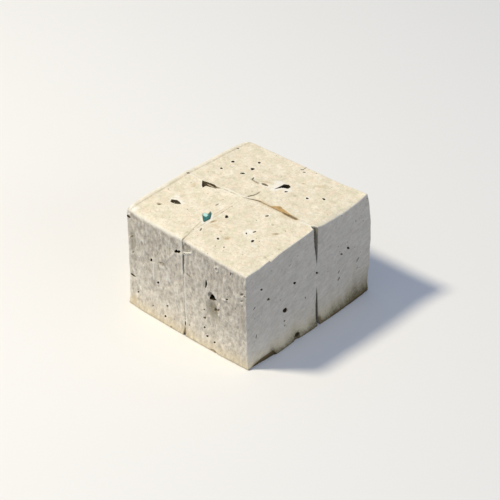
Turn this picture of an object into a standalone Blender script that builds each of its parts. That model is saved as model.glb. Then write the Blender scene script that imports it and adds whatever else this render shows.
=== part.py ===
"""A block of firm tofu, cut crosswise into four quarters that still stand together as one block.

Metres, +Z up. The origin is under the middle of the block, on the surface that it stands on. X runs along
the block's shorter side and Y along its longer side. Each quarter is one closed solid: soft sides that
spread at the foot, a top that sags towards the block's corners, two faces left by the knife, and the
larger holes that the pressed curd left open.
"""

from dataclasses import dataclass
from math import exp, pi, radians, sin

import bmesh
import bpy
from mathutils import Matrix, Vector

MM = 0.001

# The block, measured between its top edges.
WIDTH = 100 * MM
DEPTH = 108 * MM

# Height of the top at its corners (-1 and 1) and where the two cuts end or cross (0), by side of X and Y.
TOP_HEIGHT = {
    (-1, -1): 71.6 * MM, (0, -1): 70.9 * MM, (1, -1): 68.7 * MM,
    (-1, 0): 72.4 * MM, (0, 0): 72.2 * MM, (1, 0): 71.7 * MM,
    (-1, 1): 68.9 * MM, (0, 1): 70.5 * MM, (1, 1): 72.2 * MM,
}
FULL_HEIGHT = 72 * MM

# How the sides slump: a lean over the whole height, a foot that spreads, and a belly at two corners.
LEAN = 0.4 * MM
FOOT = 0.9 * MM
FOOT_RISE = 6 * MM
BELLY = {(1, 1): 2.1 * MM, (-1, 1): 1.0 * MM}

# The knife's two ways through the block, as millimetres along the cut and across it, at the top.
# The long cut parts the front quarters from the back ones, and the short cut parts left from right.
LONG_CUT = ((-50, -1.7), (-26, -1.2), (-19, 0.9), (-9, 1.4), (6, 6.0), (50, 7.1))
SHORT_CUT = ((-54, -2.8), (-42, -4.4), (4, -4.1), (11, -2.0), (20, -2.5), (54, 0.0))
SHORT_CUT_LEAN = 1.3 * MM
LONG_CUT_BOW = 1.1 * MM
KERF = 0.4 * MM

# Rounding of the block's upright corners, and the shares of it on the other edges.
CORNER_ROUND = 1.6 * MM
TOP_SHARE = 0.6
FOOT_SHARE = 0.45
CUT_SHARE = 0.3
ROUND_SEGMENTS = 2

# Where a quarter's faces are divided, from the outer face (0) to the cut (1) and from foot (0) to top (1).
ACROSS_STEPS = (0.055, 0.12, 0.24, 0.42, 0.62, 0.82, 0.94)
UP_STEPS = (0.05, 0.10, 0.20, 0.36, 0.50, 0.62, 0.74, 0.83, 0.92)

# A rounded hole is a low ball pressed into the face, and a gash is an outline cut in with sloping walls.
HOLE_SEGMENTS = 8
HOLE_RINGS = 5
GASH_RISE = 1.5 * MM
GASH_FLOOR = 0.55

CREAM = (0.79, 0.72, 0.56, 1.0)
ROUGHNESS = 0.62

SIDES = {"quarter_left": (-1, -1), "quarter_front": (1, -1), "quarter_right": (1, 1), "quarter_back": (-1, 1)}


@dataclass(frozen=True)
class Gape:
    """A place where a cut stands open, in millimetres: widest there and closing evenly over its reach."""

    along: float
    height: float
    width: float
    reach: float
    reach_up: float

    def opening(self, along, height):
        """Extra width of the cut, in metres, at a place along it in metres."""
        sideways = max(0.0, 1 - abs(along / MM - self.along) / self.reach)
        upright = max(0.0, 1 - abs(height / MM - self.height) / self.reach_up)
        return self.width * MM * sideways * upright


@dataclass(frozen=True)
class Hole:
    """A rounded hole in one face, in millimetres.

    The face is top, front (-Y) or side (+X). The place and the size are along the face's two directions,
    and the turn is in degrees.
    """

    face: str
    place: tuple
    size: tuple
    depth: float = 1.1
    turn: float = 0.0


@dataclass(frozen=True)
class Gash:
    """A hole or chip with corners, in millimetres: its outline on one face and its depth."""

    face: str
    outline: tuple
    depth: float


LONG_GAPES = (
    Gape(along=51, height=72, width=2.2, reach=7, reach_up=28),
    Gape(along=51, height=0, width=1.8, reach=7, reach_up=25),
    Gape(along=30, height=72, width=1.0, reach=9, reach_up=5),
    Gape(along=-50, height=72, width=1.4, reach=4, reach_up=6),
)
SHORT_GAPES = (
    Gape(along=-55, height=72, width=1.0, reach=5, reach_up=6),
    Gape(along=-55, height=54, width=0.9, reach=5, reach_up=9),
    Gape(along=-55, height=0, width=1.2, reach=4, reach_up=4),
)

HOLES = {
    "quarter_left": (
        Hole("front", (-8.6, 59.1), (2.2, 2.1), depth=1.4),
        Hole("front", (-6.2, 59.6), (2.1, 2.0), depth=1.4),
        Hole("front", (-47.2, 51.4), (1.8, 1.8)),
        Hole("front", (-46.7, 40.3), (1.4, 2.0)),
        Hole("front", (-46.9, 22.3), (3.6, 1.3), turn=-35),
        Hole("front", (-31.0, 41.8), (1.5, 2.5)),
        Hole("front", (-25.7, 27.1), (2.1, 2.1)),
        Hole("front", (-43.2, 11.5), (1.8, 1.8)),
        Hole("front", (-17.7, 13.1), (1.5, 1.5)),
        Hole("top", (-39.0, -37.2), (2.6, 1.6), depth=0.7, turn=40),
    ),
    "quarter_front": (
        Hole("front", (15.8, 46.6), (1.3, 4.6), depth=0.9, turn=-6),
        Hole("front", (33.7, 44.0), (1.7, 1.7)),
        Hole("front", (45.6, 53.4), (2.0, 2.0)),
        Hole("front", (45.0, 48.3), (1.6, 1.8)),
        Hole("front", (23.8, 30.8), (1.5, 1.4)),
        Hole("front", (26.4, 32.2), (1.5, 1.4)),
        Hole("front", (14.5, 13.5), (1.8, 1.8)),
        Hole("front", (17.1, 8.2), (1.8, 1.9)),
        Hole("top", (0.9, -19.1), (2.3, 2.3), depth=1.5),
        Hole("top", (18.7, -2.3), (1.9, 1.6)),
        Hole("top", (23.9, -18.9), (1.7, 1.1)),
        Hole("top", (21.4, -23.0), (1.4, 1.4)),
        Hole("top", (29.2, -26.3), (2.4, 2.4), depth=1.4),
        Hole("top", (12.1, -38.5), (1.6, 1.6)),
        Hole("side", (-41.0, 52.5), (1.9, 1.8)),
        Hole("side", (-35.3, 42.2), (1.8, 2.3), turn=-30),
        Hole("side", (-11.8, 41.5), (2.3, 2.4), depth=1.4),
        Hole("side", (-47.7, 42.2), (1.1, 2.8), turn=-25),
        Hole("side", (-20.6, 25.8), (3.2, 4.0), depth=2.0, turn=-15),
        Hole("side", (-46.3, 20.4), (1.0, 3.0)),
    ),
    "quarter_right": (
        Hole("top", (24.2, 28.3), (2.0, 1.6)),
        Hole("top", (32.4, 34.4), (2.6, 1.6)),
        Hole("top", (9.7, 25.3), (2.0, 1.3), depth=0.8, turn=44),
        Hole("side", (36.6, 42.3), (2.4, 2.4), depth=1.4),
        Hole("side", (30.7, 40.6), (1.8, 1.7)),
        Hole("side", (45.2, 29.1), (1.3, 3.4), turn=-15),
        Hole("side", (44.8, 22.6), (1.1, 2.2), turn=-15),
        Hole("side", (28.4, 22.9), (1.5, 2.4), turn=-20),
    ),
    "quarter_back": (
        Hole("top", (-38.6, 17.5), (1.8, 1.8)),
        Hole("top", (-39.1, 28.5), (2.2, 1.7), turn=44),
        Hole("top", (-24.8, 22.3), (2.8, 1.7), turn=44),
        Hole("top", (-23.9, 30.5), (2.1, 2.1), depth=1.4),
        Hole("top", (-26.2, 39.1), (1.6, 1.6)),
        Hole("top", (-48.0, 42.5), (1.7, 1.1), depth=0.8),
    ),
}

GASHES = {
    "quarter_left": (
        Gash("top", ((-36.7, -29.0), (-35.4, -31.1), (-31.6, -30.2), (-28.9, -28.4), (-31.3, -27.4)), depth=2.2),
        Gash("top", ((-36.1, -2.4), (-32.8, -5.8), (-30.1, -7.1), (-30.4, -4.4), (-26.0, -2.6)), depth=3.5),
        Gash("front", ((-52.0, 68.6), (-52.0, 65.2), (-48.2, 65.2), (-49.0, 67.6)), depth=1.2),
    ),
    "quarter_front": (
        Gash(
            "front",
            ((18.4, 41.9), (17.7, 37.4), (19.9, 36.0), (23.3, 38.3), (24.0, 41.7), (21.8, 43.7)),
            depth=3.0,
        ),
        Gash("side", ((-34.4, 71.5), (-34.4, 69.2), (-32.2, 66.9), (-30.6, 68.4), (-30.6, 71.5)), depth=1.0),
        Gash("side", ((-14.0, -1.0), (-12.9, 4.7), (-9.8, 3.6), (-11.2, -1.0)), depth=2.4),
        Gash("side", ((-52.0, -1.0), (-52.0, 0.3), (-31.5, 2.0), (-31.5, -1.0)), depth=2.6),
    ),
    "quarter_right": (
        Gash(
            "top",
            ((3.5, 23.5), (4.4, 26.2), (5.6, 27.9), (7.6, 28.5), (7.1, 30.6), (5.0, 31.2), (3.2, 29.8)),
            depth=2.4,
        ),
    ),
    "quarter_back": (),
}


def smooth_step(share):
    """Share from 0 to 1, eased at both ends."""
    share = min(1.0, max(0.0, share))
    return share * share * (3 - 2 * share)


def between(low, high, share):
    """Value at a share of the way from low to high."""
    return low + (high - low) * share


def along_line(stations, place):
    """Distance across, in metres, at a place along a cut, eased from station to station."""
    for (start, first), (end, last) in zip(stations, stations[1:]):
        if place <= end * MM:
            return between(first, last, smooth_step((place / MM - start) / (end - start))) * MM
    return stations[-1][1] * MM


def long_cut(x, height):
    """Y of the long cut. It bows back at mid height where it comes out at +X."""
    bow = LONG_CUT_BOW * sin(pi * height / FULL_HEIGHT) * smooth_step(x / (WIDTH / 2))
    return along_line(LONG_CUT, x) + bow


def short_cut(y, height):
    """X of the short cut. It leans towards +X at the foot of the front face."""
    lean = SHORT_CUT_LEAN * (1 - height / FULL_HEIGHT) * smooth_step(-y / (DEPTH / 2))
    return along_line(SHORT_CUT, y) + lean


def half_opening(gapes, along, height):
    """Half the width of a cut at a place."""
    return (KERF + sum(gape.opening(along, height) for gape in gapes)) / 2


def spread(height):
    """How far a side stands out past the top edge at a height."""
    return LEAN * (1 - height / FULL_HEIGHT) + FOOT * exp(-height / FOOT_RISE)


def belly(sides, height):
    """How far the corner of two sides bulges at a height."""
    share = min(1.0, max(0.0, height / FULL_HEIGHT))
    return BELLY.get(sides, 0.0) * sin(pi * share ** 1.3) ** 0.6


def top_height(sides, across_x, across_y):
    """Height of a quarter's top, from shares 0 (outer face) to 1 (cut face) across it."""
    side_x, side_y = sides
    by_cut = between(TOP_HEIGHT[side_x, 0], TOP_HEIGHT[0, 0], across_x)
    by_edge = between(TOP_HEIGHT[side_x, side_y], TOP_HEIGHT[0, side_y], across_x)
    return between(by_edge, by_cut, across_y)


def quarter_point(sides, across_x, across_y, up):
    """Point of a quarter, from shares 0 (outer face) to 1 (cut face) across it and 0 to 1 up it."""
    side_x, side_y = sides
    z = top_height(sides, across_x, across_y) * up
    bulge = belly(sides, z)
    outer_x = side_x * (WIDTH / 2 + spread(z) + bulge * (1 - across_y) ** 2)
    outer_y = side_y * (DEPTH / 2 + spread(z) + bulge * (1 - across_x) ** 2)
    x = between(outer_x, 0.0, across_x)
    y = between(outer_y, 0.0, across_y)
    for _ in range(4):  # each cut's place depends a little on the other's, and settles in a few rounds
        cut_x = short_cut(y, z) + side_x * half_opening(SHORT_GAPES, y, z)
        cut_y = long_cut(x, z) + side_y * half_opening(LONG_GAPES, x, z)
        x = between(outer_x, cut_x, across_x)
        y = between(outer_y, cut_y, across_y)
    return Vector((x, y, z))


def face_matrix(sides, face, place):
    """Matrix at a place on a face whose X and Y run along the face and whose Z points out of it."""
    first, second = place[0] * MM, place[1] * MM
    if face == "top":
        across_x = 1 - abs(first) / (WIDTH / 2)
        across_y = 1 - abs(second) / (DEPTH / 2)
        point = Vector((first, second, top_height(sides, across_x, across_y)))
        axes = Vector((1, 0, 0)), Vector((0, 1, 0)), Vector((0, 0, 1))
    elif face == "front":
        point = Vector((first, -DEPTH / 2 - spread(second), second))
        axes = Vector((1, 0, 0)), Vector((0, 0, 1)), Vector((0, -1, 0))
    else:
        bulge = belly(sides, second) * (abs(first) / (DEPTH / 2)) ** 2
        point = Vector((WIDTH / 2 + spread(second) + bulge, first, second))
        axes = Vector((0, 1, 0)), Vector((0, 0, 1)), Vector((1, 0, 0))
    return Matrix.Translation(point) @ Matrix(axes).transposed().to_4x4()


def add_hole(shape, sides, hole):
    """Add the ball that presses one rounded hole."""
    radii = (hole.size[0] / 2 * MM, hole.size[1] / 2 * MM, hole.depth * MM)
    place = face_matrix(sides, hole.face, hole.place)
    matrix = place @ Matrix.Rotation(radians(hole.turn), 4, "Z") @ Matrix.Diagonal((*radii, 1))
    bmesh.ops.create_uvsphere(
        shape, u_segments=HOLE_SEGMENTS, v_segments=HOLE_RINGS, radius=1.0, matrix=matrix
    )


def add_gash(shape, sides, gash):
    """Add the prism that cuts one gash: its outline above the face, and a smaller one at its floor."""
    centre = [sum(values) / len(gash.outline) for values in zip(*gash.outline)]
    place = face_matrix(sides, gash.face, centre)
    offsets = [Vector((x - centre[0], y - centre[1], 0)) * MM for x, y in gash.outline]
    rim = [shape.verts.new(place @ (offset + Vector((0, 0, GASH_RISE)))) for offset in offsets]
    floor = [shape.verts.new(place @ (offset * GASH_FLOOR - Vector((0, 0, gash.depth * MM)))) for offset in offsets]
    walls = [
        shape.faces.new((rim[before], rim[now], floor[now], floor[before]))
        for before, now in zip(range(-1, len(rim) - 1), range(len(rim)))
    ]
    bmesh.ops.recalc_face_normals(shape, faces=[shape.faces.new(rim), shape.faces.new(floor), *walls])


def divided_box(steps_x, steps_y, steps_z):
    """Unit box with its surface divided at the given steps."""
    shape = bmesh.new()
    bmesh.ops.create_cube(shape, size=1.0, matrix=Matrix.Translation((0.5, 0.5, 0.5)))
    for axis, steps in enumerate((steps_x, steps_y, steps_z)):
        normal = Vector((0, 0, 0))
        normal[axis] = 1
        for step in steps:
            everything = shape.verts[:] + shape.edges[:] + shape.faces[:]
            bmesh.ops.bisect_plane(shape, geom=everything, plane_co=normal * step, plane_no=normal)
    return shape


def box_sides(vert):
    """The sides of the unit box that a corner lies on, as axis and 0 or 1."""
    return {(axis, round(value)) for axis, value in enumerate(vert.co) if abs(value - round(value)) < 1e-6}


def rounding_share(edge):
    """Share of the corner rounding that an edge of the unit box takes."""
    common = box_sides(edge.verts[0]) & box_sides(edge.verts[1])
    outer = common & {(0, 0), (1, 0)}
    if len(common) < 2:
        return 0.0
    if len(outer) == 2:
        return 1.0
    if outer and (2, 1) in common:
        return TOP_SHARE
    if outer and (2, 0) in common:
        return FOOT_SHARE
    return CUT_SHARE


def quarter_mesh(name, sides):
    """Mesh of one quarter, its box edges marked for rounding and its foot one flat face."""
    shape = divided_box(ACROSS_STEPS, ACROSS_STEPS, UP_STEPS)
    rounding = shape.edges.layers.float.new("bevel_weight_edge")
    for edge in shape.edges:
        edge[rounding] = rounding_share(edge)
    foot = [face for face in shape.faces if (2, 0) in set.intersection(*map(box_sides, face.verts))]
    bmesh.ops.dissolve_faces(shape, faces=foot, use_verts=False)
    for vert in shape.verts:
        vert.co = quarter_point(sides, *vert.co)
    if sides[0] != sides[1]:  # these two quarters are mirrored
        bmesh.ops.reverse_faces(shape, faces=shape.faces)
    mesh = bpy.data.meshes.new(name)
    shape.to_mesh(mesh)
    shape.free()
    return mesh


def add_object(name, mesh):
    """Link a mesh to the scene as a named object."""
    thing = bpy.data.objects.new(name, mesh)
    bpy.context.collection.objects.link(thing)
    return thing


def add_cutter(name, sides):
    """One guide object that holds every hole and gash of a quarter."""
    shape = bmesh.new()
    for hole in HOLES[name]:
        add_hole(shape, sides, hole)
    for gash in GASHES[name]:
        add_gash(shape, sides, gash)
    mesh = bpy.data.meshes.new(f"holes_of_{name}")
    shape.to_mesh(mesh)
    shape.free()
    cutter = add_object(f"holes_of_{name}", mesh)
    cutter.hide_render = True
    cutter.display_type = "WIRE"
    return cutter


def curd_material(name):
    """Pale cream, matte curd."""
    material = bpy.data.materials.new(name)
    material.use_nodes = True
    shader = material.node_tree.nodes["Principled BSDF"]
    shader.inputs["Base Color"].default_value = CREAM
    shader.inputs["Roughness"].default_value = ROUGHNESS
    shader.inputs["Metallic"].default_value = 0.0
    return material


def add_quarter(name, sides):
    """One quarter of the block: its edges rounded, then its holes cut."""
    quarter = add_object(name, quarter_mesh(name, sides))
    quarter.data.materials.append(curd_material(f"curd_of_{name}"))
    rounding = quarter.modifiers.new("rounded_edges", "BEVEL")
    rounding.limit_method = "WEIGHT"
    rounding.width = CORNER_ROUND
    rounding.segments = ROUND_SEGMENTS
    holes = quarter.modifiers.new("holes", "BOOLEAN")
    holes.operation = "DIFFERENCE"
    holes.solver = "EXACT"
    holes.object = add_cutter(name, sides)
    return quarter


def main():
    """Build the four quarters."""
    for thing in list(bpy.data.objects):
        bpy.data.objects.remove(thing)
    for name, sides in SIDES.items():
        add_quarter(name, sides)


main()
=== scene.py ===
"""Looks of a block of firm tofu, cut crosswise into four quarters that still stand together.

The script works in millimetres and turns them into metres when a mesh is written. Each quarter is a fine
skin over the block's own form. Holes, chips, cracks and ridges are pressed into it by the marks listed below,
a Geometry Nodes tree adds the print of the pressing cloth and the pinholes, and the same marks leave the
stains that the curd's finish reads. Some of these are painted light: shade in holes, cracks, open cuts and
under the foot, and highlights on edges, rims and raised print.
"""

import logging
import math
from collections.abc import Sequence
from dataclasses import dataclass, field
from enum import Enum

import bmesh
import bpy
import numpy as np
from mathutils import Matrix, Vector


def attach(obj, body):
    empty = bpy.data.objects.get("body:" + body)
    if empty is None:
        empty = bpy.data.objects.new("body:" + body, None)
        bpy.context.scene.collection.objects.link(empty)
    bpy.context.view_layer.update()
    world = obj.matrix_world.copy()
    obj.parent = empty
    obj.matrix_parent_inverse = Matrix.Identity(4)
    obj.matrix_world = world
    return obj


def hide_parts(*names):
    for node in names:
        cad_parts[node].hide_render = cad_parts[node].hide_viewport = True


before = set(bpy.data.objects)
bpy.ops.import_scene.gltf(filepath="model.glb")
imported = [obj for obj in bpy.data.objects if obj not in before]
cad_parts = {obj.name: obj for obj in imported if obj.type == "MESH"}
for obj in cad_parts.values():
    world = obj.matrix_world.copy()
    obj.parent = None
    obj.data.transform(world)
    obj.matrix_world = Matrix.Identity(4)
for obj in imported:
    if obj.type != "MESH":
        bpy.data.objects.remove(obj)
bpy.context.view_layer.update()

MM = 0.001
log = logging.getLogger("tofu")

Place = tuple[float, float]
Colour = tuple[int, int, int]


class Face(Enum):
    """An outer face: the two axes that a place on it is given along, its own axis and its side."""

    TOP = (0, 1, 2, 1)
    FRONT = (0, 2, 1, -1)
    SIDE = (1, 2, 0, 1)
    BACK = (0, 2, 1, 1)
    LEFT = (1, 2, 0, -1)

    @property
    def along(self) -> tuple[int, int]:
        """The two axes that a place on the face is given along."""
        return self.value[0], self.value[1]

    @property
    def axis(self) -> int:
        """The axis that the face looks along."""
        return self.value[2]

    @property
    def sign(self) -> int:
        """1 where the face looks along its axis, and -1 where it looks against it."""
        return self.value[3]


class Cut(Enum):
    """One of the knife's two ways through the block."""

    LONG = "long"
    SHORT = "short"


class Stain(Enum):
    """A colour that a mark leaves on the curd, named as the attribute that carries it. The dark one is painted
    shade in holes, cracks, chips and open cuts, and the pale one is partly the broken curd's own paler colour
    and partly painted highlight on edges and rims.
    """

    # painted shade in holes, cracks, chips, pinholes and open cuts, and along the foot
    DARK = "dark"
    PALE = "pale"
    SOAK = "soak"
    BROWN = "brown"
    GREY = "grey"
    TAN = "tan"
    OLIVE = "olive"


# ---------------------------------------------------------------------------------------------------------
# Small sums on arrays of places
# ---------------------------------------------------------------------------------------------------------


def smooth_step(share: np.ndarray) -> np.ndarray:
    """Share from 0 to 1, eased at both ends."""
    share = np.clip(share, 0.0, 1.0)
    return share * share * (3 - 2 * share)


def eased_line(stations: Sequence[Place], place: np.ndarray) -> np.ndarray:
    """Value at a place along a line of (place, value) stations, eased from each to the next."""
    places, values = np.array(stations, float).T
    first = np.clip(np.searchsorted(places, place, side="right") - 1, 0, len(places) - 2)
    share = smooth_step((place - places[first]) / (places[first + 1] - places[first]))
    return values[first] + (values[first + 1] - values[first]) * share


def line_gap(places: np.ndarray, line: Sequence[Place]) -> np.ndarray:
    """Distance from each place to a line of straight stretches."""
    gap = np.full(len(places), np.inf)
    for start, end in zip(line, line[1:]):
        start = np.array(start, float)
        way = np.array(end, float) - start
        share = np.clip((places - start) @ way / (way @ way), 0, 1)
        gap = np.minimum(gap, np.linalg.norm(places - start - share[:, None] * way, axis=1))
    return gap


def outline_gap(places: np.ndarray, outline: Sequence[Place]) -> np.ndarray:
    """Distance from each place to a closed outline, below zero inside it."""
    closed = [*outline, outline[0]]
    inside = np.zeros(len(places), bool)
    for (x0, y0), (x1, y1) in zip(closed, closed[1:]):
        if y0 == y1:
            continue
        crosses = (places[:, 1] > min(y0, y1)) & (places[:, 1] <= max(y0, y1))
        inside ^= crosses & (places[:, 0] < x0 + (x1 - x0) * (places[:, 1] - y0) / (y1 - y0))
    gap = line_gap(places, closed)
    return np.where(inside, -gap, gap)


def ripple(angle: np.ndarray, place: Place) -> np.ndarray:
    """Uneven outline about 1, as a function of the angle, that differs from place to place."""
    phase = place[0] * 1.7 + place[1] * 2.3
    return 1 + 0.10 * np.sin(2 * angle + phase) + 0.07 * np.sin(3 * angle + 1.9 * phase)


def oval_ratio(places: np.ndarray, place: Place, size: Place, turn: float) -> np.ndarray:
    """Distance of each place from an oval's middle, as a share of the oval's own uneven radius."""
    angle = math.radians(turn)
    offset = places - np.array(place)
    along = (offset[:, 0] * math.cos(angle) + offset[:, 1] * math.sin(angle)) / (size[0] / 2)
    across = (offset[:, 1] * math.cos(angle) - offset[:, 0] * math.sin(angle)) / (size[1] / 2)
    return np.hypot(along, across) / ripple(np.arctan2(across, along), place)


def outer_faces(sides: tuple[int, int]) -> tuple[Face, Face]:
    """The two upright outer faces of the quarter on two sides: the one across X and the one across Y."""
    return Face.SIDE if sides[0] > 0 else Face.LEFT, Face.BACK if sides[1] > 0 else Face.FRONT


# ---------------------------------------------------------------------------------------------------------
# The block's form
# ---------------------------------------------------------------------------------------------------------


@dataclass(frozen=True)
class Gape:
    """A place where a cut stands open: widest there, and closing over its reach. Its stain is painted shade on
    the cut's walls inside the opening.
    """

    along: float
    height: float
    width: float
    reach: float
    reach_up: float
    stain: Stain = Stain.DARK
    amount: float = 0.62
    taper: float = 1.0

    def opening(self, along: np.ndarray, height: np.ndarray) -> np.ndarray:
        """Extra width of the cut at places along it."""
        sideways = np.maximum(0, 1 - np.abs((along - self.along) / self.reach) ** 4)
        upright = np.maximum(0, 1 - np.abs((height - self.height) / self.reach_up) ** self.taper)
        return self.width * sideways * upright


@dataclass(frozen=True)
class EdgeLine:
    """How one top edge rises and sinks along its length, as (place, lift) stations."""

    face: Face
    stations: tuple[Place, ...]
    reach: float = 2.6

    def lift(self, along: np.ndarray, inwards: np.ndarray) -> np.ndarray:
        """Lift of the top at places along the edge and a distance inwards of it."""
        return eased_line(self.stations, along) * np.exp(-np.maximum(0, inwards) / self.reach)


@dataclass(frozen=True)
class BlockForm:
    """Form of the whole block in millimetres, as the CAD part has it, with closer cuts and finer edges."""

    width: float = 100.0
    depth: float = 108.0
    full_height: float = 72.0
    lean: float = 0.4
    foot: float = 0.9
    foot_rise: float = 6.0
    cut_lean: float = 1.3
    cut_bow: float = 1.1
    kerf: float = 0.015
    top_heights: dict[tuple[int, int], float] = field(default_factory=lambda: {
        (-1, -1): 71.6, (0, -1): 70.9, (1, -1): 68.7,
        (-1, 0): 72.2, (0, 0): 72.0, (1, 0): 71.7,
        (-1, 1): 68.9, (0, 1): 70.5, (1, 1): 72.2,
    })
    bellies: dict[tuple[int, int], float] = field(default_factory=lambda: {(1, 1): 2.1, (-1, 1): 1.0})
    cut_lines: dict[Cut, tuple[Place, ...]] = field(default_factory=lambda: {
        Cut.LONG: ((-50, -1.7), (-26, -1.2), (-19, 0.9), (-9, 1.4), (6, 6.0), (50, 7.1)),
        Cut.SHORT: ((-54, -2.8), (-42, -4.4), (4, -4.1), (11, -2.0), (20, -2.5), (54, 0.0)),
    })
    gapes: dict[Cut, tuple[Gape, ...]] = field(default_factory=lambda: {
        Cut.LONG: (
            Gape(
                along=52, height=72, width=3.9, reach=5.5, reach_up=29, stain=Stain.OLIVE, amount=0.8,
                taper=1.8,
            ),
            Gape(
                along=52, height=0, width=2.4, reach=9, reach_up=28, stain=Stain.OLIVE, amount=0.85, taper=3,
            ),
            Gape(along=29.8, height=72, width=1.25, reach=6.2, reach_up=2.2, stain=Stain.BROWN, amount=0.95),
            Gape(along=8, height=72, width=0.25, reach=13, reach_up=1.6, stain=Stain.BROWN, amount=0.6),
            Gape(along=-28, height=72, width=0.7, reach=4.6, reach_up=2.4, stain=Stain.BROWN, amount=0.9),
        ),
        Cut.SHORT: (
            Gape(along=-55, height=72, width=0.7, reach=3, reach_up=3, stain=Stain.BROWN, amount=0.5),
            Gape(along=-55, height=53, width=1.5, reach=5, reach_up=8, stain=Stain.GREY, amount=1.0, taper=3),
            Gape(along=-55, height=10, width=0.2, reach=5, reach_up=20, stain=Stain.BROWN),
            Gape(along=-55, height=0, width=1.5, reach=4, reach_up=5, stain=Stain.BROWN, amount=0.9),
            Gape(along=9, height=72, width=0.4, reach=5, reach_up=1.6, stain=Stain.BROWN, amount=0.8),
        ),
    })
    corner_rounds: dict[tuple[int, int], float] = field(default_factory=lambda: {
        (-1, -1): 1.2, (1, -1): 0.9, (1, 1): 0.9, (-1, 1): 4.5,
    })
    top_rounds: dict[Face, float] = field(default_factory=lambda: {
        Face.FRONT: 2.0, Face.SIDE: 0.8, Face.LEFT: 1.0, Face.BACK: 1.0,
    })
    soft_corners: dict[tuple[int, int], Place] = field(default_factory=lambda: {(-1, -1): (3.2, 4.0)})
    flares: dict[Face, float] = field(default_factory=lambda: {Face.LEFT: 1.7, Face.BACK: 0.7})
    flare_reach: float = 50.0
    foot_swells: dict[Face, tuple[Place, ...]] = field(default_factory=lambda: {
        Face.SIDE: (
            (-54, 0.6), (-46, 1.2), (-38, 1.9), (-30, 2.3), (-14, 1.8), (0, 2.1), (7, 2.0), (22, 2.1),
            (36, 1.7),
            (48, 1.1), (54, 0.5),
        ),
        Face.FRONT: ((-50, 0.2), (-37, 1.0), (-11, 1.3), (2, 1.3), (28, 1.1), (44, 0.4), (50, 0.0)),
        Face.LEFT: ((-54, 0.1), (-40, 0.4), (-20, 1.0), (30, 1.2), (54, 0.5)),
        Face.BACK: ((-50, 0.5), (-10, 1.0), (30, 0.8), (50, 0.1)),
    })
    swell_rise: float = 5.0
    foot_round: float = 0.6
    cut_round: float = 0.07
    edge_blend: float = 0.8
    edge_lines: tuple[EdgeLine, ...] = (
        EdgeLine(Face.FRONT, (
            (-50, 0.1), (-46, 0.2), (-42, -1.0), (-33, -1.3), (-20, -0.8), (-8, -0.4), (-3, 0.2), (1, -0.1),
            (13, -0.2), (22, -0.5), (26, -1.0), (34, -0.5), (46, 0.1), (52, 0.0),
        )),
        EdgeLine(Face.SIDE, (
            (-54, 0.0), (-43, -0.5), (-36, 0.1), (-33.6, 0.4), (-32.6, -1.4), (-29, -0.8), (-25, 0.1),
            (-8, 0.1),
            (0, 0.3), (6, 0.9), (9, 0.2), (15, -1.1), (24, -1.5), (33, -2.0), (41, -1.2), (54, 0.0),
        ), reach=3.2),
        EdgeLine(Face.LEFT, (
            (-54, 0.2), (-47, 0.8), (-38, 0.6), (-24, 0.8), (-8, 1.0), (6, 0.5), (22, 0.7), (40, 0.4),
            (54, 0.0),
        ), reach=2.2),
        EdgeLine(Face.BACK, (
            (-50, 0.0), (-28, 0.2), (0, 0.4), (14, 0.2), (32, 0.3), (43, 1.0), (50, 1.5),
        ), reach=4.0),
    )

    def cut_place(self, cut: Cut, along: np.ndarray, height: np.ndarray) -> np.ndarray:
        """Place of a cut across the block, at places along it and heights."""
        line = eased_line(self.cut_lines[cut], along)
        if cut is Cut.LONG:
            bow = np.sin(math.pi * np.clip(height / self.full_height, 0, 1))
            return line + self.cut_bow * bow * smooth_step(along / (self.width / 2))
        lean = self.cut_lean * (1 - height / self.full_height)
        return line + lean * smooth_step(-along / (self.depth / 2))

    def half_opening(self, cut: Cut, along: np.ndarray, height: np.ndarray) -> np.ndarray:
        """Half the width of a cut at places along it."""
        return (self.kerf + sum(gape.opening(along, height) for gape in self.gapes[cut])) / 2

    def spread(self, height: np.ndarray) -> np.ndarray:
        """How far a side stands out past its top edge at a height."""
        return self.lean * (1 - height / self.full_height) + self.foot * np.exp(-height / self.foot_rise)

    def stand_out(self, face: Face, along: np.ndarray, height: np.ndarray) -> np.ndarray:
        """How far a face stands out past its nominal plane, at places along it and heights."""
        flare = self.flares.get(face, 0.0) * np.exp((height - self.full_height) / self.flare_reach)
        swell = eased_line(self.foot_swells[face], along) * np.exp(-height / self.swell_rise)
        return self.spread(height) + flare + swell

    def belly(self, sides: tuple[int, int], height: np.ndarray) -> np.ndarray:
        """How far the corner of two sides bulges at a height."""
        share = np.clip(height / self.full_height, 0, 1)
        return self.bellies.get(sides, 0.0) * np.maximum(0, np.sin(math.pi * share**1.3)) ** 0.6

    def plain_height(self, sides: tuple[int, int], across: np.ndarray) -> np.ndarray:
        """Height of a quarter's top without its edge lines, from shares 0 (outer) to 1 (cut) across."""
        side_x, side_y = sides
        heights = self.top_heights
        share_x, share_y = across.T
        by_cut = heights[side_x, 0] + (heights[0, 0] - heights[side_x, 0]) * share_x
        by_edge = heights[side_x, side_y] + (heights[0, side_y] - heights[side_x, side_y]) * share_x
        return by_edge + (by_cut - by_edge) * share_y

    def lift(self, x: np.ndarray, y: np.ndarray) -> np.ndarray:
        """Lift of the top by its edge lines."""
        total = np.zeros(len(x))
        for line in self.edge_lines:
            across, along = (x, y) if line.face.axis == 0 else (y, x)
            half = (self.width if line.face.axis == 0 else self.depth) / 2
            total += line.lift(along, half - line.face.sign * across)
        return total

    def size(self) -> np.ndarray:
        """Nominal size of a quarter."""
        return np.array((self.width / 2, self.depth / 2, self.full_height))

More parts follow.
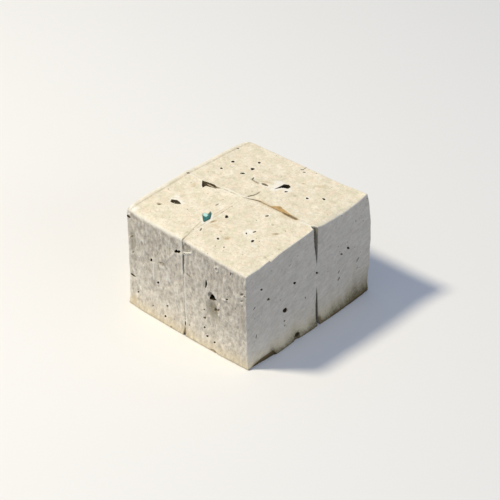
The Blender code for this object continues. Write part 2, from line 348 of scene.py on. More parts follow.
    def top_round(self, sides: tuple[int, int], near: np.ndarray, by_cut: np.ndarray) -> np.ndarray:
        """Rounding of the top edge nearest to places whose distances from the two nearest walls are given."""
        weight = np.exp(-near / self.edge_blend) + 1e-9
        rounds = np.stack([
            np.where(by_cut[:, axis], self.cut_round, self.top_rounds[face])
            for axis, face in enumerate(outer_faces(sides))
        ], axis=1)
        extra, reach = self.soft_corners.get(sides, (0.0, 1.0))
        softer = extra * np.exp(-near.max(axis=1) / reach) * ~by_cut.any(axis=1)
        return (rounds * weight).sum(axis=1) / weight.sum(axis=1) + softer

    def rounded(self, sides: tuple[int, int], shares: np.ndarray) -> np.ndarray:
        """Shares of places on a quarter's box once its edges are rounded, upright ones first."""
        size = self.size()
        plan = shares[:, :2] * size[:2]
        by_cut = plan > size[:2] / 2
        near = np.where(by_cut, size[:2] - plan, plan)
        wall = near.min(axis=1)
        corner = np.where(by_cut.any(axis=1), self.cut_round, self.corner_rounds[sides])
        over = np.maximum(0, corner[:, None] - near)
        in_corner = (over > 0).all(axis=1)
        length = np.maximum(np.linalg.norm(over, axis=1), 1e-9)
        turned = over * (over.max(axis=1) / length)[:, None]
        inwards = np.where(in_corner[:, None], over / length[:, None], near <= near.min(axis=1)[:, None])
        inwards = inwards / np.maximum(np.linalg.norm(inwards, axis=1), 1e-9)[:, None]
        near = np.where(in_corner[:, None], corner[:, None] - turned, near)

        height = shares[:, 2] * size[2]
        by_top = height > size[2] / 2
        rise = np.where(by_top, size[2] - height, height)
        reach = np.where(by_top, self.top_round(sides, near, by_cut), self.foot_round)
        over = np.maximum(0, reach[:, None] - np.stack((wall, rise), axis=1))
        in_edge = (over > 0).all(axis=1)
        length = np.maximum(np.linalg.norm(over, axis=1), 1e-9)
        turned = reach[:, None] - over * (over.max(axis=1) / length)[:, None]
        near = near + np.where(in_edge, turned[:, 0] - wall, 0)[:, None] * inwards
        rise = np.where(in_edge, turned[:, 1], rise)
        plan = np.where(by_cut, size[:2] - near, near)
        height = np.where(by_top, size[2] - rise, rise)
        return np.column_stack((plan, height)) / size

    def surface(self, sides: tuple[int, int], shares: np.ndarray) -> np.ndarray:
        """Places on a quarter's surface.

        Args:
            sides: Which side of X and of Y the quarter is on, as -1 or 1.
            shares: Shares across X and Y, from 0 (outer face) to 1 (cut), and up, one row for each place.

        Returns:
            The places in millimetres, one row each.
        """
        side_x, side_y = sides
        across_x, across_y, up = shares.T
        plain = self.plain_height(sides, shares[:, :2])
        z = plain * up
        bulge = self.belly(sides, z)
        face_x, face_y = outer_faces(sides)
        x = side_x * self.width / 2 * (1 - across_x)
        y = side_y * self.depth / 2 * (1 - across_y)
        # Each direction's place depends a little on the other's, and settles in a few rounds.
        for _ in range(5):
            outer_x = side_x * (self.width / 2 + self.stand_out(face_x, y, z) + bulge * (1 - across_y) ** 2)
            outer_y = side_y * (self.depth / 2 + self.stand_out(face_y, x, z) + bulge * (1 - across_x) ** 2)
            cut_x = self.cut_place(Cut.SHORT, y, z) + side_x * self.half_opening(Cut.SHORT, y, z)
            cut_y = self.cut_place(Cut.LONG, x, z) + side_y * self.half_opening(Cut.LONG, x, z)
            x = outer_x + (cut_x - outer_x) * across_x
            y = outer_y + (cut_y - outer_y) * across_y
        return np.column_stack((x, y, (plain + self.lift(x, y)) * up))


# ---------------------------------------------------------------------------------------------------------
# A quarter's skin, and the marks that are pressed into it
# ---------------------------------------------------------------------------------------------------------


@dataclass
class Skin:
    """Points of one quarter's surface in millimetres, with what the marks press and stain."""

    form: BlockForm
    sides: tuple[int, int]
    shares: np.ndarray
    points: np.ndarray
    faces: dict[Face, np.ndarray]
    rest: np.ndarray = field(init=False)
    stains: dict[Stain, np.ndarray] = field(init=False)

    def __post_init__(self) -> None:
        """Keep the places before anything is pressed, and start without stains."""
        self.rest = self.points.copy()
        self.stains = {stain: np.zeros(len(self.points)) for stain in Stain}

    def places(self, face: Face) -> np.ndarray:
        """Places of a face's points along its two axes."""
        return self.rest[self.faces[face]][:, face.along]

    def press(self, face: Face, depth: np.ndarray) -> None:
        """Move a face's points into the block by a depth each."""
        self.points[self.faces[face], face.axis] -= face.sign * depth

    def inwards(self, face: Face, axis: int) -> np.ndarray:
        """Distance of a face's points from its outer edge along one axis, or from its top edge."""
        share = self.shares[self.faces[face], axis]
        return (1 - share if axis == 2 else share) * self.form.size()[axis]

    def stain(self, face: Face, stain: Stain, amount: np.ndarray) -> None:
        """Stain a face's points at least as strongly as each amount."""
        self.stain_points(self.faces[face], stain, amount)

    def stain_points(self, chosen: np.ndarray | slice, stain: Stain, amount: np.ndarray) -> None:
        """Stain the chosen points at least as strongly as each amount."""
        self.stains[stain][chosen] = np.maximum(self.stains[stain][chosen], amount)


@dataclass(frozen=True)
class Mark:
    """Something pressed into, raised on or stained into one face of the block, or painted on it as shade or
    highlight.
    """

    face: Face

    def gap(self, places: np.ndarray) -> np.ndarray:
        """Distance from each place to the mark's own area, below zero inside it."""
        raise NotImplementedError

    def press(self, skin: Skin) -> None:
        """Press the mark into a quarter's skin."""
        raise NotImplementedError

    def pale(self, skin: Skin, amount: float, width: float, shift: Place) -> None:
        """Pale the curd in and around the mark's area, once that is shifted: partly the broken curd's own
        paler colour, partly a painted highlight on the rim's lit side.
        """
        gap = self.gap(skin.places(self.face) - np.array(shift))
        skin.stain(self.face, Stain.PALE, amount * smooth_step(1 - gap / width))

    def needs_detail(self) -> bool:
        """Whether the mesh has to be finer around the mark."""
        return True


@dataclass(frozen=True)
class SoftMark(Mark):
    """A mark that the mesh is fine enough for everywhere."""

    def needs_detail(self) -> bool:
        """A soft mark needs no finer mesh."""
        return False


@dataclass(frozen=True)
class Pit(Mark):
    """A round or oval hole, painted dark inside as shade, with a pale ring round it that is partly paler curd
    and partly a painted highlight on the lit side of its rim.
    """

    place: Place = (0.0, 0.0)
    size: Place = (1.6, 1.6)
    depth: float = 1.6
    turn: float = 0.0
    dark: float = 1.0
    halo: float = 0.45
    halo_width: float = 1.0
    halo_shift: Place = (0.0, 0.0)

    def ratio(self, places: np.ndarray) -> np.ndarray:
        """Distance from the middle as a share of the hole's own uneven radius."""
        return oval_ratio(places, self.place, self.size, self.turn)

    def gap(self, places: np.ndarray) -> np.ndarray:
        """Distance from each place to the hole's rim, below zero inside it."""
        return (self.ratio(places) - 1) * min(self.size) / 2

    def press(self, skin: Skin) -> None:
        """Press the hole, paint shade into it and pale its surroundings."""
        ratio = self.ratio(skin.places(self.face))
        skin.press(self.face, self.depth * smooth_step((1.08 - ratio) / 0.75))
        skin.stain(self.face, Stain.DARK, self.dark * smooth_step((1.05 - ratio) / 0.35))
        self.pale(skin, self.halo, self.halo_width, self.halo_shift)


@dataclass(frozen=True)
class Hollow(Mark):
    """A hole or shelf with corners: its outline, its depth and the width of its sloping wall."""

    outline: tuple[Place, ...] = ()
    depth: float = 1.0
    wall: float = 0.5
    dark: float = 1.0
    halo: float = 0.0
    halo_width: float = 1.2
    halo_shift: Place = (0.0, 0.0)
    stain: Stain = Stain.DARK

    def gap(self, places: np.ndarray) -> np.ndarray:
        """Distance from each place to the outline, below zero inside it."""
        return outline_gap(places, self.outline)

    def press(self, skin: Skin) -> None:
        """Cut the hollow, stain it and pale its surroundings. A dark stain in it is painted shade."""
        inside = -self.gap(skin.places(self.face))
        skin.press(self.face, self.depth * smooth_step((inside + 0.1) / self.wall))
        skin.stain(self.face, self.stain, self.dark * smooth_step((inside + 0.15) / 0.35))
        if self.halo:
            self.pale(skin, self.halo, self.halo_width, self.halo_shift)


@dataclass(frozen=True)
class Score(Mark):
    """A crack, scratch or ridge along a line, pressed in, or raised where its depth is below zero."""

    line: tuple[Place, ...] = ()
    width: float = 0.5
    depth: float = 0.3
    amount: float = 0.6
    stain: Stain = Stain.DARK
    halo: float = 0.0
    halo_shift: Place = (0.0, 0.0)
    halo_width: float = 0.7
    seen_depth: float = 0.2

    def gap(self, places: np.ndarray) -> np.ndarray:
        """Distance from each place to the line's edge, below zero on the line."""
        return line_gap(places, self.line) - self.width / 2

    def press(self, skin: Skin) -> None:
        """Press or raise the line and stain it."""
        gap = self.gap(skin.places(self.face))
        share = smooth_step((self.width / 2 - gap) / self.width)
        skin.press(self.face, self.depth * share)
        skin.stain(self.face, self.stain, self.amount * share)
        if self.halo:
            self.pale(skin, self.halo, self.halo_width, self.halo_shift)

    def needs_detail(self) -> bool:
        """Only a line deep enough to see needs a finer mesh."""
        return abs(self.depth) > self.seen_depth


@dataclass(frozen=True)
class Smudge(Mark):
    """A soft oval patch of colour, which may also be a shallow dent."""

    place: Place = (0.0, 0.0)
    size: Place = (4.0, 4.0)
    turn: float = 0.0
    stain: Stain = Stain.PALE
    amount: float = 0.5
    depth: float = 0.0
    ring: float = 0.0

    def gap(self, places: np.ndarray) -> np.ndarray:
        """Distance from each place to the patch's edge, below zero inside it."""
        return (oval_ratio(places, self.place, self.size, self.turn) - 1) * min(self.size) / 2

    def press(self, skin: Skin) -> None:
        """Stain and dent the patch."""
        gap = self.gap(skin.places(self.face))
        share = smooth_step(-gap / (min(self.size) * 0.3))
        hole = smooth_step((-gap - self.ring) / 0.4) if self.ring else 0.0
        skin.stain(self.face, self.stain, self.amount * share * (1 - hole))
        skin.press(self.face, self.depth * share * (1 - hole))

    def needs_detail(self) -> bool:
        """A soft patch needs no finer mesh."""
        return bool(self.ring)


# Where each cut comes out at a seen side, as a place along it.
CUT_MOUTHS = {Cut.LONG: 52.0, Cut.SHORT: -55.0}


@dataclass(frozen=True)
class CutTrace(SoftMark):
    """What runs along a cut on one face: a stain on both lips, which may also be raised or sunk. A brown or
    grey line along the cut is painted shade of the narrow gap, and pale lips are partly painted highlight.
    """

    cut: Cut = Cut.LONG
    span: Place = (0.0, 1.0)
    width: float = 0.8
    stain: Stain = Stain.DARK
    amount: float = 0.6
    depth: float = 0.0
    shift: float = 0.0
    fade: float = 2.0

    def split(self, places: np.ndarray, form: BlockForm) -> tuple[np.ndarray, np.ndarray]:
        """Places along the cut, and distances across from the middle of the trace."""
        first, second = places.T
        if self.face is Face.TOP:
            along, across = (first, second) if self.cut is Cut.LONG else (second, first)
            height = np.full(len(places), form.full_height)
            return along, across - form.cut_place(self.cut, along, height) - self.shift
        edge = form.width / 2 if self.cut is Cut.LONG else -form.depth / 2
        return second, first - form.cut_place(self.cut, np.full(len(places), edge), second) - self.shift

    def press(self, skin: Skin) -> None:
        """Stain the lips, and raise or sink them."""
        along, across = self.split(skin.places(self.face), skin.form)
        if self.face is Face.TOP:
            station, height = along, np.full(len(along), skin.form.full_height)
        else:
            station, height = np.full(len(along), CUT_MOUTHS[self.cut]), along
        opening = skin.form.half_opening(self.cut, station, height)
        past_lip = np.maximum(0, np.abs(across) - (0 if self.shift else opening))
        inside = np.minimum(along - self.span[0], self.span[1] - along)
        share = smooth_step(1 - past_lip / self.width) * smooth_step(inside / self.fade + 0.5)
        skin.stain(self.face, self.stain, self.amount * share)
        skin.press(self.face, self.depth * share)


@dataclass(frozen=True)
class FootBand(SoftMark):
    """A band of colour along a face's foot, as (place, height) stations: curd that stands in its own brown
    whey, and where the band is dark, painted shade along the foot.
    """

    stations: tuple[Place, ...] = ()
    stain: Stain = Stain.SOAK
    amount: float = 0.6

    def press(self, skin: Skin) -> None:
        """Stain the band, strongest at the foot."""
        places = skin.places(self.face)
        along = places[:, 0]
        wobble = 1 + 0.12 * np.sin(along * 0.35) + 0.08 * np.sin(along * 0.9 + 1)
        height = np.maximum(0.05, eased_line(self.stations, along) * wobble)
        skin.stain(self.face, self.stain, self.amount * np.exp(-((places[:, 1] / height) ** 1.6)))


@dataclass(frozen=True)
class EdgeRim(SoftMark):
    """A stain that follows one outer edge of a face, a little way in from it. A pale rim is a painted
    highlight along the rounded edge.
    """

    axis: int = 2
    width: float = 1.2
    inset: float = 0.0
    stain: Stain = Stain.PALE
    amount: float = 0.5
    only: tuple[tuple[int, int], ...] = ()

    def press(self, skin: Skin) -> None:
        """Stain the rim, in uneven strength along the edge."""
        if self.only and skin.sides not in self.only:
            return
        along = skin.places(self.face).sum(axis=1)
        uneven = 0.8 + 0.2 * np.sin(along * 0.8) * np.sin(along * 0.31 + 1)
        off = np.abs(skin.inwards(self.face, self.axis) - self.inset)
        skin.stain(self.face, self.stain, self.amount * uneven * smooth_step(1 - off / self.width))


@dataclass(frozen=True)
class Bite:
    """A chip out of an edge or a corner, broken along a ball, with painted shade in it and pale curd round it
    that is partly a painted highlight.
    """

    centre: tuple[float, float, float]
    size: tuple[float, float, float]
    dark: float = 0.0
    pale: float = 0.5

    def gap(self, points: np.ndarray) -> np.ndarray:
        """Distance from each point to the ball, below zero inside it."""
        ratio = np.linalg.norm((points - np.array(self.centre)) / (np.array(self.size) / 2), axis=1)
        return (ratio - 1) * min(self.size) / 2

    def press(self, skin: Skin) -> None:
        """Push the skin's outer points out of the ball, into the block."""
        outer = np.unique(np.concatenate(list(skin.faces.values())))
        half = np.array(self.size) / 2
        offset = (skin.rest[outer] - np.array(self.centre)) / half
        ratio = np.maximum(np.linalg.norm(offset, axis=1), 1e-6)
        inside = ratio < 1
        chosen = outer[inside]
        pushed = np.array(self.centre) + offset[inside] / ratio[inside, None] * half
        skin.points[chosen] += pushed - skin.rest[chosen]
        near = smooth_step((1.15 - ratio) / 0.25)
        # Painted shade in the chip, and pale broken curd that is partly a painted highlight.
        skin.stain_points(outer, Stain.DARK, self.dark * near)
        skin.stain_points(outer, Stain.PALE, self.pale * near)


def bubble(face: Face, place: Place, width: float, depth: float, dark: float = 1.0, **halo: object) -> Pit:
    """A bubble's hole, drawn out slantwise as the pressed curd is on that face."""
    slant = {Face.TOP: 134.0, Face.FRONT: 46.0, Face.SIDE: -45.0, Face.LEFT: 40.0, Face.BACK: -40.0}[face]
    return Pit(face, place, (width * 1.7, width), depth, turn=slant, dark=dark, **halo)


def slash(face: Face, place: Place, size: Place, turn: float, dark: float = 0.9, depth: float = 1.0) -> Pit:
    """A narrow oval slit."""
    return Pit(face, place, size, depth=depth, turn=turn, dark=dark, halo=0.25, halo_width=0.6)


# A mark's place is in millimetres along its face's two axes. About half of those on the top, the front and the
# side were measured, and the rest were set one by one. Those on the left and the back are made up.

TOP_MARKS = (
    # Left quarter
    Hollow(
        Face.TOP,
        ((-37.0, -28.8), (-35.6, -31.2), (-31.8, -30.5), (-28.7, -28.4), (-31.3, -27.2), (-33.9, -26.9)),
        depth=1.6, wall=1.1, dark=0.66, halo=0.8, halo_width=2.0, halo_shift=(0.0, 1.0),
    ),
    Smudge(Face.TOP, (-36.4, -24.4), (5.0, 3.4), 20, Stain.PALE, 0.95),
    Smudge(Face.TOP, (-39.0, -37.2), (5.0, 3.0), 28, Stain.BROWN, 0.7, depth=0.4),
    Pit(Face.TOP, (-38.8, -37.2), (2.2, 1.3), 0.4, turn=44, dark=0.4, halo=0.0),
    Pit(Face.TOP, (-48.6, -1.9), (2.6, 1.5), 0.8, turn=44, dark=0.6, halo=0.0),
    Hollow(
        Face.TOP,
        ((-36.9, -1.5), (-33.4, -5.6), (-31.0, -7.4), (-30.7, -4.4), (-27.6, -3.5), (-24.6, -2.5),
         (-24.5, -1.1),
         (-27.6, 0.4), (-31.4, 0.0)),
        depth=1.7, wall=1.6, dark=0.66, halo=0.3, halo_width=0.9, stain=Stain.DARK,
    ),
    Smudge(Face.TOP, (-37.5, -9.0), (8.0, 5.0), 120, Stain.TAN, 0.25),
    Pit(Face.TOP, (-12.0, -14.0), (3.8, 1.5), 0.4, turn=90, dark=0.35, halo=0.3),
    # Back quarter
    Pit(Face.TOP, (-38.6, 17.5), (2.2, 1.7), 1.2, turn=134, dark=0.9),
    Pit(Face.TOP, (-39.1, 28.5), (2.6, 2.0), 1.2, turn=60, dark=0.85),
    Pit(Face.TOP, (-24.8, 22.3), (3.4, 2.3), 1.6, turn=44),
    Pit(Face.TOP, (-23.9, 30.5), (3.4, 2.6), 2.4, turn=134, halo=0.5),
    Pit(Face.TOP, (-26.2, 39.1), (2.2, 1.8), 0.9, turn=134, dark=0.7),
    Pit(Face.TOP, (-48.0, 42.5), (2.4, 1.4), 0.5, turn=30, dark=0.5, halo=0.2),
    Pit(Face.TOP, (-15.9, 22.4), (3.2, 1.4), 0.5, turn=105, dark=0.5, halo=0.5),
    Score(Face.TOP, ((-15.8, 21.2), (-12.9, 20.5), (-9.6, 20.4)), 1.4, 0.3, 0.75, Stain.BROWN, halo=0.4),
    Pit(Face.TOP, (-5.6, 22.0), (6.0, 2.6), 0.6, turn=14, dark=0.48, halo=0.5, halo_shift=(0.6, -0.4)),
    Smudge(Face.TOP, (-7.0, 24.4), (9.0, 4.0), 20, Stain.TAN, 0.3),
    # Right quarter
    Hollow(
        Face.TOP,
        ((2.2, 21.4), (4.0, 25.2), (5.4, 27.2), (8.2, 28.2), (8.0, 30.9), (5.4, 32.0), (2.9, 30.6),
         (2.7, 27.0)),
        depth=3.0, wall=0.9, halo=0.95, halo_width=2.4, halo_shift=(-0.4, -1.2),
    ),
    Smudge(Face.TOP, (1.6, 25.0), (8.0, 6.0), 60, Stain.PALE, 0.95),
    Smudge(Face.TOP, (-0.6, 29.4), (9.0, 7.0), 50, Stain.PALE, 0.9, depth=-0.2),
    Smudge(Face.TOP, (9.6, 27.0), (6.4, 4.4), 40, Stain.PALE, 0.95),
    Pit(Face.TOP, (9.7, 24.9), (2.8, 1.7), 1.0, turn=44, halo=0.8, halo_width=1.3),
    Pit(Face.TOP, (24.2, 28.3), (2.4, 1.9), 1.2, turn=134, dark=0.75, halo=0.8),
    Pit(Face.TOP, (32.4, 34.4), (2.8, 2.1), 1.3, turn=-10, dark=0.85, halo=0.4),
    Smudge(Face.TOP, (16.6, 25.3), (3.4, 2.2), 0, Stain.BROWN, 0.3, depth=0.2),
    Smudge(Face.TOP, (11.0, 39.5), (3.2, 2.4), 30, Stain.TAN, 0.55, depth=0.2),
    Smudge(Face.TOP, (22.0, 44.0), (9.0, 5.0), 40, Stain.TAN, 0.3),
    Pit(Face.TOP, (-0.5, 51.0), (2.4, 1.6), 0.8, turn=40, dark=0.35),
    Pit(Face.TOP, (2.8, 49.4), (2.4, 1.6), 0.8, turn=40, dark=0.35),
    Hollow(
        Face.TOP,
        ((12.6, 5.8), (15.5, 8.6), (18.4, 10.5), (20.6, 9.6), (25.0, 8.8), (30.0, 8.0), (30.0, 6.4)),
        depth=0.3, wall=1.4, dark=1.0, stain=Stain.TAN,
    ),
    Smudge(Face.TOP, (18.6, 9.2), (4.4, 2.6), 20, Stain.BROWN, 0.3),
    Smudge(Face.TOP, (27.0, 4.0), (9.0, 4.0), 5, Stain.TAN, 0.3),
    # Front quarter
    Pit(Face.TOP, (0.9, -19.1), (3.1, 2.5), 2.4, turn=134, halo=0.3),
    Pit(Face.TOP, (12.1, -38.5), (2.1, 1.7), 0.8, turn=134, dark=0.6, halo=0.6),
    Pit(Face.TOP, (20.7, -42.1), (1.9, 1.5), 0.6, turn=134, dark=0.35),
    Pit(Face.TOP, (21.4, -23.4), (1.8, 1.5), 0.8, turn=134, dark=0.55, halo=0.9, halo_width=1.5),
    Smudge(Face.TOP, (21.6, -20.8), (7.0, 5.0), 0, Stain.PALE, 1.0),
    Pit(Face.TOP, (23.9, -18.9), (2.9, 1.2), 0.8, turn=79, dark=0.55),
    Pit(Face.TOP, (29.2, -26.3), (2.5, 1.9), 1.4, turn=110, dark=0.9, halo=0.5),
    Smudge(Face.TOP, (32.6, -29.6), (6.0, 4.0), 0, Stain.PALE, 0.5),
    Pit(Face.TOP, (18.7, -2.3), (2.7, 2.0), 1.0, turn=60, dark=0.62, halo=0.6),
    Smudge(Face.TOP, (27.5, -6.6), (2.4, 1.8), 0, Stain.BROWN, 0.4, depth=0.2),
    Smudge(Face.TOP, (15.6, -34.5), (7.0, 4.6), 44, Stain.TAN, 0.35, depth=0.35),
    Smudge(Face.TOP, (15.6, -34.5), (3.4, 2.4), 44, Stain.BROWN, 0.35),
    Smudge(Face.TOP, (35.0, -11.9), (6.0, 3.2), 44, Stain.TAN, 0.4, depth=0.15),
    Smudge(Face.TOP, (35.0, -11.9), (5.0, 2.4), 44, Stain.BROWN, 0.4),
    Smudge(Face.TOP, (47.0, -22.0), (2.6, 1.8), 40, Stain.BROWN, 0.35, depth=0.2),
    Smudge(Face.TOP, (45.5, -32.4), (2.4, 1.8), 0, Stain.BROWN, 0.3, depth=0.2),
    Smudge(Face.TOP, (35.5, -27.7), (2.2, 1.8), 0, Stain.BROWN, 0.35, depth=0.2),
    Smudge(Face.TOP, (8.3, -32.1), (2.4, 1.8), 0, Stain.BROWN, 0.4, depth=0.2),
    Smudge(Face.TOP, (4.7, -0.8), (4.6, 2.4), 10, Stain.TAN, 0.4, depth=0.15),
    Pit(Face.TOP, (-1.7, -39.0), (3.6, 1.3), 0.4, turn=114, dark=0.42, halo=0.4),
    Smudge(Face.TOP, (-1.6, -28.0), (6.2, 3.2), 71, Stain.TAN, 0.5, depth=0.1),
    Smudge(Face.TOP, (-1.9, -28.3), (4.6, 1.7), 71, Stain.BROWN, 0.55, depth=0.15),
    Score(
        Face.TOP,
        ((-10.4, -29.6), (-7.0, -32.6), (-4.6, -33.6), (-4.0, -30.4), (-3.8, -27.6), (-6.8, -24.2)), 1.3, 0.0,
        0.95, Stain.PALE,
    ),
    # Pale corner: partly broken curd, partly a painted highlight where the corner meets the light.
    Smudge(Face.TOP, (-47.5, -51.5), (9.0, 8.0), 0, Stain.PALE, 0.9),
    Score(
        Face.TOP, ((-3.4, -51.5), (-4.7, -46.0), (-6.2, -38.5), (-7.4, -32.8)), 0.5, 0.08, 0.4, Stain.BROWN,
    ),
    Smudge(Face.TOP, (2.0, -31.0), (9.0, 6.0), 20, Stain.TAN, 0.25),
)

FRONT_FLECKS = (
    (-33.4, 64.3), (-30.8, 66.0), (-40.1, 55.6), (-33.3, 60.7), (-33.4, 50.6), (-13.8, 63.1), (-16.8, 59.8),
    (-12.4, 61.9), (-39.9, 51.8), (-40.3, 64.2), (-19.4, 34.0), (-11.0, 29.3), (-24.4, 54.0), (-37.0, 44.0),
    (14.1, 63.6), (10.1, 57.8), (13.5, 58.7), (20.0, 66.0), (38.1, 65.4), (42.2, 65.6), (7.9, 43.3),
    (44.5, 60.7),
    (6.0, 57.0), (17.4, 62.0), (31.0, 64.0),
)

